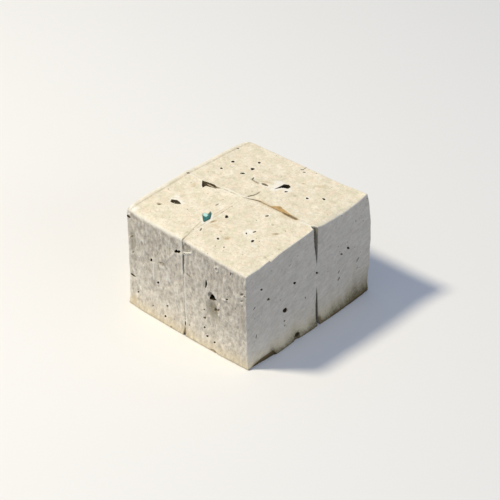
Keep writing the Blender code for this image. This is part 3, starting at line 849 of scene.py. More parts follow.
FRONT_MARKS = (
    *(
        Score(Face.FRONT, ((x - 0.3, z - 1.3), (x + 0.3, z + 1.3)), 1.1, -0.12, 0.7, Stain.PALE)
        for x, z in FRONT_FLECKS
    ),
    *(
        Smudge(Face.FRONT, place, (3.2, 4.4), 0, Stain.GREY, 0.5, depth=0.15)
        for place in ((-29.9, 56.0), (-38.1, 50.8), (-28.6, 65.0), (-46.7, 48.0), (-19.9, 67.0),
        (-12.2, 66.4))
    ),
    # Left quarter
    bubble(Face.FRONT, (-8.6, 59.2), 2.1, 2.2, halo=0.5, halo_shift=(-0.3, -0.9)),
    bubble(Face.FRONT, (-6.4, 59.9), 2.0, 2.0, 0.9, halo=0.5, halo_shift=(-0.2, -1.1)),
    Score(Face.FRONT, ((-10.2, 57.2), (-13.4, 53.0), (-16.8, 49.0)), 0.9, -0.2, 0.45, Stain.PALE),
    Pit(Face.FRONT, (-30.6, 42.2), (2.9, 1.9), 1.8, turn=62, halo=0.2),
    bubble(Face.FRONT, (-25.3, 27.6), 1.6, 1.8, halo=0.8, halo_width=0.9),
    bubble(Face.FRONT, (-43.1, 11.6), 1.3, 1.2, 0.7, halo=0.4),
    bubble(Face.FRONT, (-30.1, 7.8), 1.1, 0.5, 0.35, halo=0.0),
    bubble(Face.FRONT, (-17.5, 13.6), 1.3, 0.6, 0.4, halo=0.0),
    bubble(Face.FRONT, (-19.0, 5.2), 1.4, 1.0, 0.75),
    Smudge(Face.FRONT, (-21.2, 44.1), (7.5, 3.4), 8, Stain.BROWN, 0.3, depth=0.15),
    bubble(Face.FRONT, (-22.6, 43.9), 1.3, 0.3, 0.25, halo=0.0),
    bubble(Face.FRONT, (-19.5, 44.6), 1.2, 0.3, 0.22, halo=0.0),
    Score(Face.FRONT, ((-28.1, 41.0), (-28.8, 35.8), (-28.5, 29.0)), 1.3, -0.3, 1.0, Stain.PALE),
    Score(
        Face.FRONT,
        ((-22.6, 41.2), (-19.1, 41.4), (-16.9, 38.6), (-15.0, 34.0)), 1.9, -0.25, 0.95, Stain.PALE,
    ),
    bubble(Face.FRONT, (-47.0, 51.9), 1.9, 0.5, 0.32, halo=0.2),
    bubble(Face.FRONT, (-46.6, 40.4), 1.7, 0.4, 0.28, halo=0.4),
    slash(Face.FRONT, (-47.2, 22.4), (5.4, 1.8), 4, dark=0.75, depth=1.2),
    Smudge(Face.FRONT, (-46.0, 50.0), (7.0, 24.0), 0, Stain.GREY, 0.6),
    Smudge(Face.FRONT, (-40.0, 33.0), (3.0, 22.0), 0, Stain.PALE, 0.35),
    Smudge(Face.FRONT, (-46.5, 4.0), (9.0, 11.0), 0, Stain.SOAK, 0.7),
    # The short cut's lips and front quarter
    Hollow(
        Face.FRONT,
        ((-1.9, 62.4), (-1.7, 67.0), (-0.8, 69.4), (3.0, 69.0), (6.4, 67.2), (3.3, 64.8)), depth=0.12,
        wall=1.2, dark=0.5, stain=Stain.GREY,
    ),
    # A raised lip, painted pale as a highlight where it faces the light.
    Hollow(
        Face.FRONT,
        ((-2.3, 59.8), (-2.5, 62.0), (2.0, 63.8), (4.8, 64.8), (4.9, 64.0), (2.2, 62.0)), depth=-0.42,
        wall=0.6, dark=0.85, stain=Stain.PALE,
    ),
    slash(Face.FRONT, (1.9, 46.3), (5.2, 2.2), -8, dark=0.34, depth=0.4),
    Score(Face.FRONT, ((-0.8, 44.6), (2.8, 43.6)), 0.6, -0.15, 0.8, Stain.PALE),
    Pit(Face.FRONT, (-1.9, 8.5), (1.3, 3.4), 1.2, dark=0.9, halo=0.2),
    bubble(Face.FRONT, (1.6, 8.8), 1.1, 0.8, 0.5, halo=0.4),
    Pit(Face.FRONT, (16.4, 47.0), (1.7, 6.2), 2.0, turn=-8, halo=0.6, halo_width=0.8, halo_shift=(0.5, 0.6)),
    Smudge(Face.FRONT, (25.6, 62.6), (5.2, 5.0), 0, Stain.PALE, 1.0, depth=-0.4, ring=1.1),
    slash(Face.FRONT, (37.4, 65.0), (4.0, 1.4), 62, dark=0.3, depth=0.5),
    Hollow(
        Face.FRONT,
        ((17.4, 40.4), (18.9, 43.2), (21.2, 43.0), (23.4, 41.2), (24.2, 39.4), (20.6, 38.6), (18.2, 38.6)),
        depth=0.8, wall=1.2, dark=0.5, halo=0.4, halo_shift=(0.2, -0.4), stain=Stain.BROWN,
    ),
    Hollow(
        Face.FRONT,
        ((19.0, 37.1), (19.5, 40.4), (20.9, 41.2), (22.8, 40.8), (25.0, 39.4), (22.2, 37.8)), 3.2, 0.7,
    ),
    Smudge(Face.FRONT, (21.6, 29.6), (13.0, 17.0), 10, Stain.GREY, 0.95, depth=0.5),
    Smudge(Face.FRONT, (22.5, 31.5), (9.0, 10.0), 0, Stain.BROWN, 0.32, depth=0.2),
    bubble(Face.FRONT, (23.7, 31.0), 2.3, 0.7, 0.4, halo=0.0),
    bubble(Face.FRONT, (26.4, 32.5), 1.8, 0.7, 0.4, halo=0.0),
    Smudge(Face.FRONT, (27.7, 36.6), (2.2, 4.0), 10, Stain.PALE, 1.0, depth=-0.5),
    Smudge(Face.FRONT, (26.9, 29.0), (2.4, 2.4), 0, Stain.PALE, 1.0, depth=-0.5),
    bubble(Face.FRONT, (33.8, 44.3), 1.5, 0.8, 0.5, halo=0.0),
    Smudge(Face.FRONT, (31.4, 42.9), (5.0, 2.6), 12, Stain.PALE, 1.0, depth=-0.5),
    bubble(Face.FRONT, (46.2, 53.9), 2.2, 0.7, 0.3, halo=0.4, halo_shift=(0.3, -0.6)),
    bubble(Face.FRONT, (45.9, 48.9), 1.8, 0.5, 0.26, halo=0.6, halo_shift=(0.2, -0.6)),
    slash(Face.FRONT, (48.8, 53.6), (2.8, 1.1), 8, dark=0.4, depth=0.4),
    bubble(Face.FRONT, (14.5, 26.9), 1.4, 0.5, 0.3, halo=0.0),
    bubble(Face.FRONT, (14.6, 20.8), 1.6, 0.6, 0.45, halo=0.0),
    bubble(Face.FRONT, (14.5, 13.5), 1.5, 1.1, 0.7),
    bubble(Face.FRONT, (16.9, 8.1), 1.4, 1.0, 0.7),
    bubble(Face.FRONT, (23.0, 6.6), 1.3, 1.0, 0.65),
    Smudge(Face.FRONT, (46.8, 38.0), (5.0, 34.0), 0, Stain.GREY, 0.45),
    Score(Face.FRONT, ((21.6, 0.6), (23.4, 1.1), (25.2, 0.4)), 0.8, 0.4, 0.9, Stain.BROWN),
    # Pale lips beside the short cut are partly painted highlight, and the grey line between them is painted
    # shade in the cut.
    CutTrace(Face.FRONT, Cut.SHORT, (44.0, 71.0), 1.1, Stain.PALE, 1.0, depth=-0.15, shift=-1.2),
    CutTrace(Face.FRONT, Cut.SHORT, (45.0, 61.0), 0.8, Stain.PALE, 0.9, depth=-0.1, shift=1.5),
    CutTrace(Face.FRONT, Cut.SHORT, (9.0, 45.0), 0.9, Stain.PALE, 1.0, depth=-0.1, shift=0.6),
    CutTrace(Face.FRONT, Cut.SHORT, (9.0, 45.0), 0.5, Stain.GREY, 0.7, shift=-0.6),
    CutTrace(Face.FRONT, Cut.SHORT, (-1.0, 6.0), 1.4, Stain.BROWN, 0.8, fade=3.0),
    FootBand(
        Face.FRONT, ((-50, 7.0), (-30, 5.5), (-3, 6.5), (12, 5.0), (30, 6.5), (50, 7.5)), Stain.SOAK, 0.62,
    ),
    # Thin brown line at the foot: partly whey, partly painted contact shade.
    FootBand(Face.FRONT, ((-50, 0.6), (0, 0.7), (50, 0.6)), Stain.BROWN, 0.7),
)

SIDE_MARKS = (
    bubble(Face.SIDE, (-41.0, 52.5), 1.4, 0.9, 0.6, halo=0.2),
    bubble(Face.SIDE, (-35.3, 42.2), 2.0, 1.0, 0.6, halo=0.0),
    bubble(Face.SIDE, (-11.8, 41.5), 1.9, 1.6, 0.9, halo=0.2, halo_shift=(0.7, 0.6)),
    slash(Face.SIDE, (-47.7, 42.2), (3.2, 1.1), 43, dark=0.55),
    Pit(Face.SIDE, (-20.6, 25.8), (5.0, 3.4), 2.0, turn=-60, dark=0.85, halo=0.15),
    bubble(Face.SIDE, (-21.3, 18.1), 1.3, 0.7, 0.4, halo=0.0),
    bubble(Face.SIDE, (-21.2, 14.5), 1.2, 0.7, 0.3, halo=0.0),
    slash(Face.SIDE, (-46.3, 20.4), (4.0, 1.0), 69, dark=0.35),
    Pit(Face.SIDE, (-2.3, 25.2), (1.3, 2.1), 0.6, dark=0.4, halo=0.0),
    slash(Face.SIDE, (-16.0, 57.0), (3.4, 1.5), 30, dark=0.25, depth=0.3),
    bubble(Face.SIDE, (8.4, 38.2), 1.8, 1.4, 0.85, halo=0.0),
    bubble(Face.SIDE, (36.6, 42.3), 2.0, 1.6, 0.8, halo=0.0),
    slash(Face.SIDE, (35.6, 47.0), (2.6, 1.2), 50, dark=0.25, depth=0.3),
    bubble(Face.SIDE, (30.7, 40.6), 1.7, 0.9, 0.5, halo=0.0),
    slash(Face.SIDE, (45.2, 29.1), (5.0, 2.1), 50, dark=0.33, depth=0.5),
    slash(Face.SIDE, (44.8, 22.6), (3.0, 1.8), 50, dark=0.28, depth=0.4),
    slash(Face.SIDE, (28.3, 28.4), (3.2, 2.2), 42, dark=0.33, depth=0.4),
    slash(Face.SIDE, (28.4, 22.9), (3.4, 2.2), 42, dark=0.38, depth=0.5),
    slash(Face.SIDE, (27.3, 18.7), (3.4, 1.3), 42, dark=0.25, depth=0.3),
    # The olive notch at the foot and the brown wedge under the lifted edge are partly whey and partly painted
    # shade.
    Hollow(
        Face.SIDE,
        ((-15.6, -1.0), (-15.2, 1.0), (-13.8, 3.2), (-11.2, 4.4), (-8.8, 3.2), (-9.8, 0.8), (-12.0, -1.0)),
        depth=1.2, wall=2.0, dark=1.0, stain=Stain.OLIVE,
    ),
    Smudge(Face.SIDE, (-12.0, 3.2), (9.0, 7.0), 0, Stain.OLIVE, 0.6),
    Pit(Face.SIDE, (-11.4, 2.6), (4.4, 3.4), 0.7, turn=-20, dark=0.72, halo=0.0),
    Hollow(
        Face.SIDE,
        ((-55.0, -1.0), (-54.0, 0.6), (-50.0, 1.9), (-44.0, 2.9), (-33.6, 3.4), (-32.0, 1.0), (-32.0, -1.0)),
        depth=1.0, wall=0.8, dark=1.0, stain=Stain.BROWN,
    ),
    FootBand(
        Face.SIDE,
        ((-54, 6.0), (-30, 9.0), (-13, 11.0), (4, 10.0), (8, 12.0), (22, 10.0), (40, 12.0), (54, 13.0)),
        Stain.SOAK, 0.85,
    ),
    FootBand(
        Face.SIDE,
        ((-54, 1.0), (-32, 3.6), (-28, 2.6), (-14, 4.4), (-4, 3.4), (8, 5.6), (14, 3.6), (24, 5.0), (36, 6.6),
         (46, 10.0), (54, 10.5)),
        Stain.OLIVE, 1.0,
    ),
    # Painted shade along the foot and under the lifted edge.
    FootBand(
        Face.SIDE,
        ((-54, 0.8), (-50, 2.4), (-33, 3.9), (-31, 0.6), (-8, 0.8), (12, 0.9), (28, 1.8), (54, 3.0)),
        Stain.DARK, 0.7,
    ),
    Smudge(Face.SIDE, (8.0, 3.0), (6.0, 9.0), 0, Stain.BROWN, 0.8),
)

HIDDEN_MARKS = (
    Pit(Face.LEFT, (-38.0, 50.0), (2.5, 2.2), 1.6),
    Pit(Face.LEFT, (-21.0, 31.0), (2.1, 2.9), 1.4),
    Pit(Face.LEFT, (-30.0, 14.0), (2.0, 1.8), 1.2, dark=0.8),
    Pit(Face.LEFT, (-9.0, 44.0), (1.8, 2.0), 1.2),
    Pit(Face.LEFT, (14.0, 53.0), (2.7, 2.5), 1.8),
    Pit(Face.LEFT, (29.0, 36.0), (2.0, 2.5), 1.3),
    Pit(Face.LEFT, (38.0, 18.0), (2.2, 1.8), 1.3, dark=0.8),
    slash(Face.LEFT, (22.0, 20.0), (4.1, 1.7), 25),
    Score(Face.LEFT, ((-14.0, 60.0), (-17.0, 52.0), (-16.0, 45.0)), 0.7, -0.15, 0.5, Stain.PALE),
    Pit(Face.BACK, (-34.0, 47.0), (2.6, 2.5), 1.8),
    Pit(Face.BACK, (-22.0, 24.0), (2.0, 2.7), 1.3),
    Pit(Face.BACK, (-12.0, 55.0), (2.0, 1.8), 1.2, dark=0.8),
    Pit(Face.BACK, (18.0, 42.0), (2.9, 2.6), 1.9),
    Pit(Face.BACK, (31.0, 24.0), (2.2, 2.0), 1.4),
    Pit(Face.BACK, (40.0, 56.0), (1.8, 2.1), 1.2),
    slash(Face.BACK, (9.0, 17.0), (1.7, 4.4), 18),
    Smudge(Face.BACK, (20.0, 30.0), (9.0, 14.0), 0, Stain.GREY, 0.4, depth=0.2),
    FootBand(Face.LEFT, ((-54, 6.5), (-20, 5.5), (20, 6.5), (54, 5.5)), Stain.SOAK, 0.62),
    FootBand(Face.LEFT, ((-54, 0.6), (0, 0.8), (54, 0.7)), Stain.BROWN, 0.7),
    FootBand(Face.BACK, ((-50, 5.5), (0, 6.5), (30, 5.5), (50, 7.0)), Stain.SOAK, 0.62),
    FootBand(Face.BACK, ((-50, 0.7), (0, 0.8), (30, 1.6), (50, 3.5)), Stain.OLIVE, 0.9),
)

# The brown lines along the cuts are painted shade of the narrow gap, and the pale lips partly painted
# highlight.
TOP_CUT_MARKS = (
    CutTrace(Face.TOP, Cut.LONG, (23.4, 35.6), 0.9, Stain.BROWN, 0.9, fade=0.8),
    CutTrace(Face.TOP, Cut.LONG, (-6.0, 24.0), 0.6, Stain.BROWN, 0.6, fade=3.0),
    CutTrace(Face.TOP, Cut.LONG, (2.0, 37.0), 2.2, Stain.TAN, 0.5, fade=5.0),
    CutTrace(Face.TOP, Cut.LONG, (-32.0, -23.0), 1.2, Stain.BROWN, 0.9, fade=1.5),
    CutTrace(Face.TOP, Cut.LONG, (-20.5, -17.0), 0.5, Stain.BROWN, 0.5, fade=0.8),
    CutTrace(Face.TOP, Cut.LONG, (-15.0, -12.0), 0.45, Stain.BROWN, 0.4, fade=0.8),
    CutTrace(Face.TOP, Cut.LONG, (-50.0, -36.0), 1.1, Stain.PALE, 0.6, depth=-0.1, fade=2.0),
    CutTrace(Face.TOP, Cut.LONG, (-23.0, -4.0), 0.7, Stain.PALE, 0.8, depth=-0.18, shift=1.3),
    CutTrace(Face.TOP, Cut.LONG, (-24.0, -8.0), 0.7, Stain.PALE, 0.7, depth=-0.15, shift=-1.1),
    CutTrace(Face.TOP, Cut.LONG, (36.5, 50.0), 1.1, Stain.PALE, 0.7, depth=-0.15, fade=2.0),
    CutTrace(Face.TOP, Cut.SHORT, (4.5, 14.0), 0.8, Stain.BROWN, 0.6, fade=2.0),
    CutTrace(Face.TOP, Cut.SHORT, (-54.0, -46.0), 0.6, Stain.BROWN, 0.5, fade=2.0),
    CutTrace(Face.TOP, Cut.SHORT, (-46.0, 5.0), 0.45, Stain.BROWN, 0.16, fade=2.0),
    CutTrace(Face.TOP, Cut.SHORT, (-44.0, -8.0), 0.5, Stain.PALE, 0.3, depth=-0.05, shift=1.0),
    CutTrace(Face.TOP, Cut.SHORT, (-22.0, -6.0), 0.35, Stain.BROWN, 0.22, depth=0.06, shift=-1.8),
    CutTrace(Face.TOP, Cut.SHORT, (-25.0, -14.0), 0.35, Stain.PALE, 0.5, depth=-0.08, shift=-3.0),
)

BITES = (
    Bite((-49.2, -55.4, 69.0), (4.4, 3.6, 4.2), pale=1.0),
    Bite((-49.6, -55.3, 66.0), (5.4, 3.4, 2.2), dark=0.72, pale=0.0),
    Bite((-51.0, -54.6, 51.4), (5.0, 3.4, 2.6), dark=0.2, pale=0.2),
    Bite((51.8, -32.0, 71.6), (3.4, 3.0, 4.4), dark=0.2, pale=0.2),
    Bite((49.6, -55.2, 50.4), (2.0, 2.4, 5.0), pale=0.2),
)

# Pale rims are painted highlights along the rounded edges; the brown one is a thin line a little way in from
# the left face's top edge.
RIM_HIGHLIGHTS_AND_LINES = (
    EdgeRim(Face.FRONT, axis=2, width=2.6, amount=0.95, only=((-1, -1),)),
    EdgeRim(Face.FRONT, axis=2, width=2.2, amount=0.7, only=((1, -1),)),
    EdgeRim(Face.TOP, axis=1, width=2.4, amount=0.85, only=((-1, -1),)),
    EdgeRim(Face.TOP, axis=1, width=1.2, amount=0.4, only=((1, -1),)),
    EdgeRim(Face.TOP, axis=0, width=3.0, amount=0.95, only=((-1, -1), (-1, 1))),
    EdgeRim(Face.TOP, axis=0, width=0.9, inset=3.5, stain=Stain.BROWN, amount=0.34, only=((-1, -1), (-1, 1))),
    EdgeRim(Face.LEFT, axis=2, width=2.5, amount=0.9),
    EdgeRim(Face.TOP, axis=0, width=1.2, amount=0.3, only=((1, -1), (1, 1))),
    EdgeRim(Face.TOP, axis=1, width=1.2, amount=0.45, only=((1, 1), (-1, 1))),
    EdgeRim(Face.FRONT, axis=0, width=3.2, amount=0.5),
    EdgeRim(Face.SIDE, axis=1, width=1.2, amount=0.3),
    EdgeRim(Face.SIDE, axis=2, width=0.8, amount=0.25),
)

FACE_MARKS = RIM_HIGHLIGHTS_AND_LINES + TOP_MARKS + TOP_CUT_MARKS + FRONT_MARKS + SIDE_MARKS + HIDDEN_MARKS


# ---------------------------------------------------------------------------------------------------------
# Node trees
# ---------------------------------------------------------------------------------------------------------


class Graph:
    """Adds nodes to one tree, and sets or links their inputs."""

    def __init__(self, tree: bpy.types.NodeTree) -> None:
        """Work on a tree."""
        self.tree = tree

    def node(self, kind: str, inputs: dict | None = None, **settings: object) -> bpy.types.Node:
        """Add a node.

        Args:
            kind: The node's Blender type.
            inputs: A value or a source socket for each input, by its name or its number.
            settings: Properties of the node.

        Returns:
            The new node.
        """
        node = self.tree.nodes.new(kind)
        for name, value in settings.items():
            setattr(node, name, value)
        for name, value in (inputs or {}).items():
            self.put(node.inputs[name], value)
        return node

    def put(self, socket: bpy.types.NodeSocket, value: object) -> None:
        """Set an input, or link it where its value is a source socket."""
        if isinstance(value, bpy.types.NodeSocket):
            self.tree.links.new(value, socket)
        else:
            socket.default_value = value

    def math(self, operation: str, *values: object) -> bpy.types.NodeSocket:
        """Result of a Math node on values or sockets."""
        return self.node("ShaderNodeMath", dict(enumerate(values)), operation=operation).outputs[0]

    def times(self, first: object, second: object) -> bpy.types.NodeSocket:
        """Product of two values or sockets."""
        return self.math("MULTIPLY", first, second)

    def plus(self, first: object, second: object) -> bpy.types.NodeSocket:
        """Sum of two values or sockets."""
        return self.math("ADD", first, second)

    def steps(self, value: bpy.types.NodeSocket, low: object, high: object) -> bpy.types.NodeSocket:
        """0 at low and 1 at high, eased between."""
        inputs = {"Value": value, "From Min": low, "From Max": high}
        node = self.node("ShaderNodeMapRange", inputs, interpolation_type="SMOOTHSTEP")
        return node.outputs[0]

    def scaled(self, vector: bpy.types.NodeSocket, scale: tuple[float, float, float]) -> bpy.types.NodeSocket:
        """A vector with each part multiplied."""
        return self.node("ShaderNodeVectorMath", {0: vector, 1: scale}, operation="MULTIPLY").outputs[0]

    def grown(self, vector: bpy.types.NodeSocket, factor: object) -> bpy.types.NodeSocket:
        """A vector, or a colour, multiplied as a whole."""
        return self.node("ShaderNodeVectorMath", {0: vector, "Scale": factor}, operation="SCALE").outputs[0]

    def noise(
        self, vector: bpy.types.NodeSocket, scale: object, detail: float = 2.0, roughness: float = 0.5,
    ) -> bpy.types.NodeSocket:
        """Smooth noise about 0.5."""
        inputs = {"Vector": vector, "Scale": scale, "Detail": detail, "Roughness": roughness}
        return self.node("ShaderNodeTexNoise", inputs).outputs[0]

    def named(self, name: str) -> bpy.types.NodeSocket:
        """A float attribute of the geometry, in a Geometry Nodes tree."""
        return self.node("GeometryNodeInputNamedAttribute", {"Name": name}, data_type="FLOAT").outputs[0]

    def attribute(self, name: str) -> bpy.types.NodeSocket:
        """A float attribute of the surface, in a material."""
        return self.node("ShaderNodeAttribute", attribute_name=name).outputs["Fac"]

    def mix(self, share: object, first: object, second: object, blend: str = "MIX") -> bpy.types.NodeSocket:
        """Mix of two colours."""
        inputs = {0: share, 6: first, 7: second}
        return self.node("ShaderNodeMix", inputs, data_type="RGBA", blend_type=blend).outputs[2]


def new_tree(
    name: str, kind: str, inputs: Sequence[tuple[str, str]], outputs: Sequence[tuple[str, str]],
) -> tuple[Graph, bpy.types.Node, bpy.types.Node]:
    """Start a node group with named inputs and outputs.

    Args:
        name: The group's name.
        kind: The tree's Blender type.
        inputs: Name and socket type of each input.
        outputs: Name and socket type of each output.

    Returns:
        The graph, its input node and its output node.
    """
    tree = bpy.data.node_groups.new(name, kind)
    for label, socket_type in inputs:
        tree.interface.new_socket(label, in_out="INPUT", socket_type=socket_type)
    for label, socket_type in outputs:
        tree.interface.new_socket(label, in_out="OUTPUT", socket_type=socket_type)
    graph = Graph(tree)
    return graph, graph.node("NodeGroupInput"), graph.node("NodeGroupOutput")


def placed(name: str, content: bpy.types.ID) -> bpy.types.Object:
    """A new object in the scene that holds a mesh, a camera or a light."""
    thing = bpy.data.objects.new(name, content)
    bpy.context.scene.collection.objects.link(thing)
    return thing


def run_tree(
    thing: bpy.types.Object, tree: bpy.types.NodeTree, values: dict[str, object], name: str,
) -> bpy.types.Object:
    """Run a Geometry Nodes tree on an object and keep the result as a plain mesh.

    Args:
        thing: The object that the tree works on, which is removed afterwards.
        tree: The tree.
        values: A value for each named input.
        name: The new object's name.

    Returns:
        A new object without modifiers.
    """
    modifier = thing.modifiers.new(tree.name, "NODES")
    modifier.node_group = tree
    for item in tree.interface.items_tree:
        if item.item_type == "SOCKET" and item.in_out == "INPUT" and item.name in values:
            modifier[item.identifier] = values[item.name]
    depsgraph = bpy.context.evaluated_depsgraph_get()
    mesh = bpy.data.meshes.new_from_object(thing.evaluated_get(depsgraph), depsgraph=depsgraph)
    thing.modifiers.remove(modifier)
    bpy.data.objects.remove(thing)
    mesh.name = name
    return placed(name, mesh)


def skin_tree() -> bpy.types.NodeTree:
    """Geometry Nodes tree that prints the pressing cloth and the curd's pinholes into a quarter's skin."""
    float_names = (
        "Swell Depth", "Swell Scale", "Dapple Depth", "Dapple Scale", "Dapple Stretch", "Streak Depth",
        "Streak Scale", "Streak Stretch", "Drag Depth", "Drag Scale", "Drag Slant", "Dent Depth",
        "Dent Scale",
        "Pinhole Density", "Pinhole Radius", "Pinhole Depth",
    )
    graph, given, result = new_tree(
        "curd_skin", "GeometryNodeTree",
        [
            ("Geometry", "NodeSocketGeometry"), *((name, "NodeSocketFloat") for name in float_names),
            ("Seed", "NodeSocketInt"), ("Finish", "NodeSocketMaterial"),
        ],
        [("Geometry", "NodeSocketGeometry")],
    )
    start = given.outputs
    position = graph.node("GeometryNodeInputPosition").outputs[0]
    outer = graph.named("outer")

    def swing(
        place: bpy.types.NodeSocket, scale: object, detail: float, depth: object,
    ) -> bpy.types.NodeSocket:
        """Noise about zero, as deep as its depth."""
        centred = graph.math("SUBTRACT", graph.noise(place, scale, detail), 0.5)
        return graph.times(graph.times(centred, 2.0), depth)

    def drawn_out(stretch: object) -> bpy.types.NodeSocket:
        """Position squeezed along Z, so that noise on it is drawn out upright."""
        squeeze = graph.node("ShaderNodeCombineXYZ", {0: 1.0, 1: 1.0, 2: graph.math("DIVIDE", 1.0, stretch)})
        vectors = {0: position, 1: squeeze.outputs[0]}
        return graph.node("ShaderNodeVectorMath", vectors, operation="MULTIPLY").outputs[0]

    swell = swing(position, start["Swell Scale"], 1.0, start["Swell Depth"])
    dapple = swing(drawn_out(start["Dapple Stretch"]), start["Dapple Scale"], 2.2, start["Dapple Depth"])
    dapple = graph.times(dapple, graph.named("dappled"))
    streak = swing(drawn_out(start["Streak Stretch"]), start["Streak Scale"], 1.0, start["Streak Depth"])
    streak = graph.times(streak, graph.named("streaked"))
    slanted = graph.node(
        "ShaderNodeVectorRotate", {"Vector": position, "Angle": start["Drag Slant"]}, rotation_type="X_AXIS",
    ).outputs[0]
    drag = swing(graph.scaled(slanted, (1.0, 0.3, 1.0)), start["Drag Scale"], 2.5, start["Drag Depth"])
    drag = graph.times(drag, graph.named("flank"))
    dent = swing(position, start["Dent Scale"], 3.0, start["Dent Depth"])
    dent = graph.times(dent, graph.named("crown"))
    print_depth = graph.plus(graph.plus(dapple, streak), graph.plus(drag, dent))
    relief = graph.plus(swell, print_depth)

    pinholes = graph.node(
        "GeometryNodeDistributePointsOnFaces",
        {"Mesh": start["Geometry"], "Density Max": start["Pinhole Density"], "Density Factor": outer,
         "Distance Min": 0.002, "Seed": start["Seed"]},
        distribute_method="POISSON",
    ).outputs["Points"]
    gap = graph.node(
        "GeometryNodeProximity", {"Geometry": pinholes, "Sample Position": position}, target_element="POINTS",
    ).outputs["Distance"]
    nearest = graph.node("GeometryNodeSampleNearest", {"Geometry": pinholes, "Sample Position": position})
    smallest, largest = 0.35, 1.0
    variety = graph.node(
        "FunctionNodeRandomValue", {"Seed": start["Seed"], 2: smallest, 3: largest}, data_type="FLOAT",
    )
    share = graph.node(
        "GeometryNodeSampleIndex",
        {"Geometry": pinholes, "Value": variety.outputs[1], "Index": nearest.outputs["Index"]},
        data_type="FLOAT", domain="POINT",
    ).outputs["Value"]
    radius = graph.times(start["Pinhole Radius"], share)
    pinhole = graph.steps(gap, radius, graph.times(radius, 0.3))
    sunk = graph.times(graph.times(pinhole, share), start["Pinhole Depth"])

    relief = graph.times(graph.math("SUBTRACT", relief, sunk), outer)
    normal = graph.node("GeometryNodeInputNormal").outputs[0]
    offset = graph.grown(normal, relief)
    kept = start["Geometry"]
    pressed = {"pinhole": graph.times(pinhole, share), "relief": graph.times(print_depth, 1 / MM)}
    for name, value in pressed.items():
        kept = graph.node(
            "GeometryNodeStoreNamedAttribute", {"Geometry": kept, "Name": name, "Value": value},
            data_type="FLOAT", domain="POINT",
        ).outputs[0]
    moved = graph.node("GeometryNodeSetPosition", {"Geometry": kept, "Offset": offset}).outputs[0]
    smooth = graph.node("GeometryNodeSetShadeSmooth", {"Geometry": moved}).outputs[0]
    real = graph.node("GeometryNodeRealizeInstances", {"Geometry": smooth}).outputs[0]
    dress = {"Geometry": real, "Material": start["Finish"]}
    dressed = graph.node("GeometryNodeSetMaterial", dress).outputs[0]
    graph.tree.links.new(dressed, result.inputs[0])
    return graph.tree


def crumb_tree() -> bpy.types.NodeTree:
    """Geometry Nodes tree that stands a small uneven grain on each point of a mesh."""
    graph, given, result = new_tree(
        "curd_crumbs", "GeometryNodeTree",
        [
            ("Geometry", "NodeSocketGeometry"), ("Smallest", "NodeSocketFloat"),
            ("Largest", "NodeSocketFloat"),
            ("Seed", "NodeSocketInt"), ("Finish", "NodeSocketMaterial"),
        ],
        [("Geometry", "NodeSocketGeometry")],
    )
    start = given.outputs
    grain = graph.node("GeometryNodeMeshIcoSphere", {"Radius": 1.0, "Subdivisions": 2}).outputs[0]
    place = graph.node("GeometryNodeInputPosition").outputs[0]
    lump = graph.plus(graph.times(graph.noise(place, 1.4, 1.0), 0.9), 0.55)
    shaped = graph.grown(place, lump)
    grain = graph.node("GeometryNodeSetPosition", {"Geometry": grain, "Position": shaped}).outputs[0]
    full_turn = (math.tau, math.tau, math.tau)
    turn = graph.node(
        "FunctionNodeRandomValue", {"Seed": start["Seed"], 1: full_turn}, data_type="FLOAT_VECTOR",
    )
    sizes = {"Seed": start["Seed"], 2: start["Smallest"], 3: start["Largest"]}
    size = graph.node("FunctionNodeRandomValue", sizes, data_type="FLOAT")
    flat = graph.node("ShaderNodeCombineXYZ", {0: 1.0, 1: 0.8, 2: 0.6}).outputs[0]
    scale = graph.grown(flat, size.outputs[1])
    scattered = graph.node(
        "GeometryNodeInstanceOnPoints",
        {"Points": start["Geometry"], "Instance": grain, "Rotation": turn.outputs[0], "Scale": scale},
    ).outputs[0]
    real = graph.node("GeometryNodeRealizeInstances", {"Geometry": scattered}).outputs[0]
    smooth = graph.node("GeometryNodeSetShadeSmooth", {"Geometry": real}).outputs[0]
    dress = {"Geometry": smooth, "Material": start["Finish"]}
    dressed = graph.node("GeometryNodeSetMaterial", dress).outputs[0]
    graph.tree.links.new(dressed, result.inputs[0])
    return graph.tree


# ---------------------------------------------------------------------------------------------------------
# Finishes
# ---------------------------------------------------------------------------------------------------------


def linear(colour: Colour) -> tuple[float, float, float, float]:
    """A colour given as it shows on a screen, 0 to 255, as the linear one that a shader takes."""
    parts = [value / 255 for value in colour]
    return (*(part / 12.92 if part <= 0.04045 else ((part + 0.055) / 1.055) ** 2.4 for part in parts), 1.0)


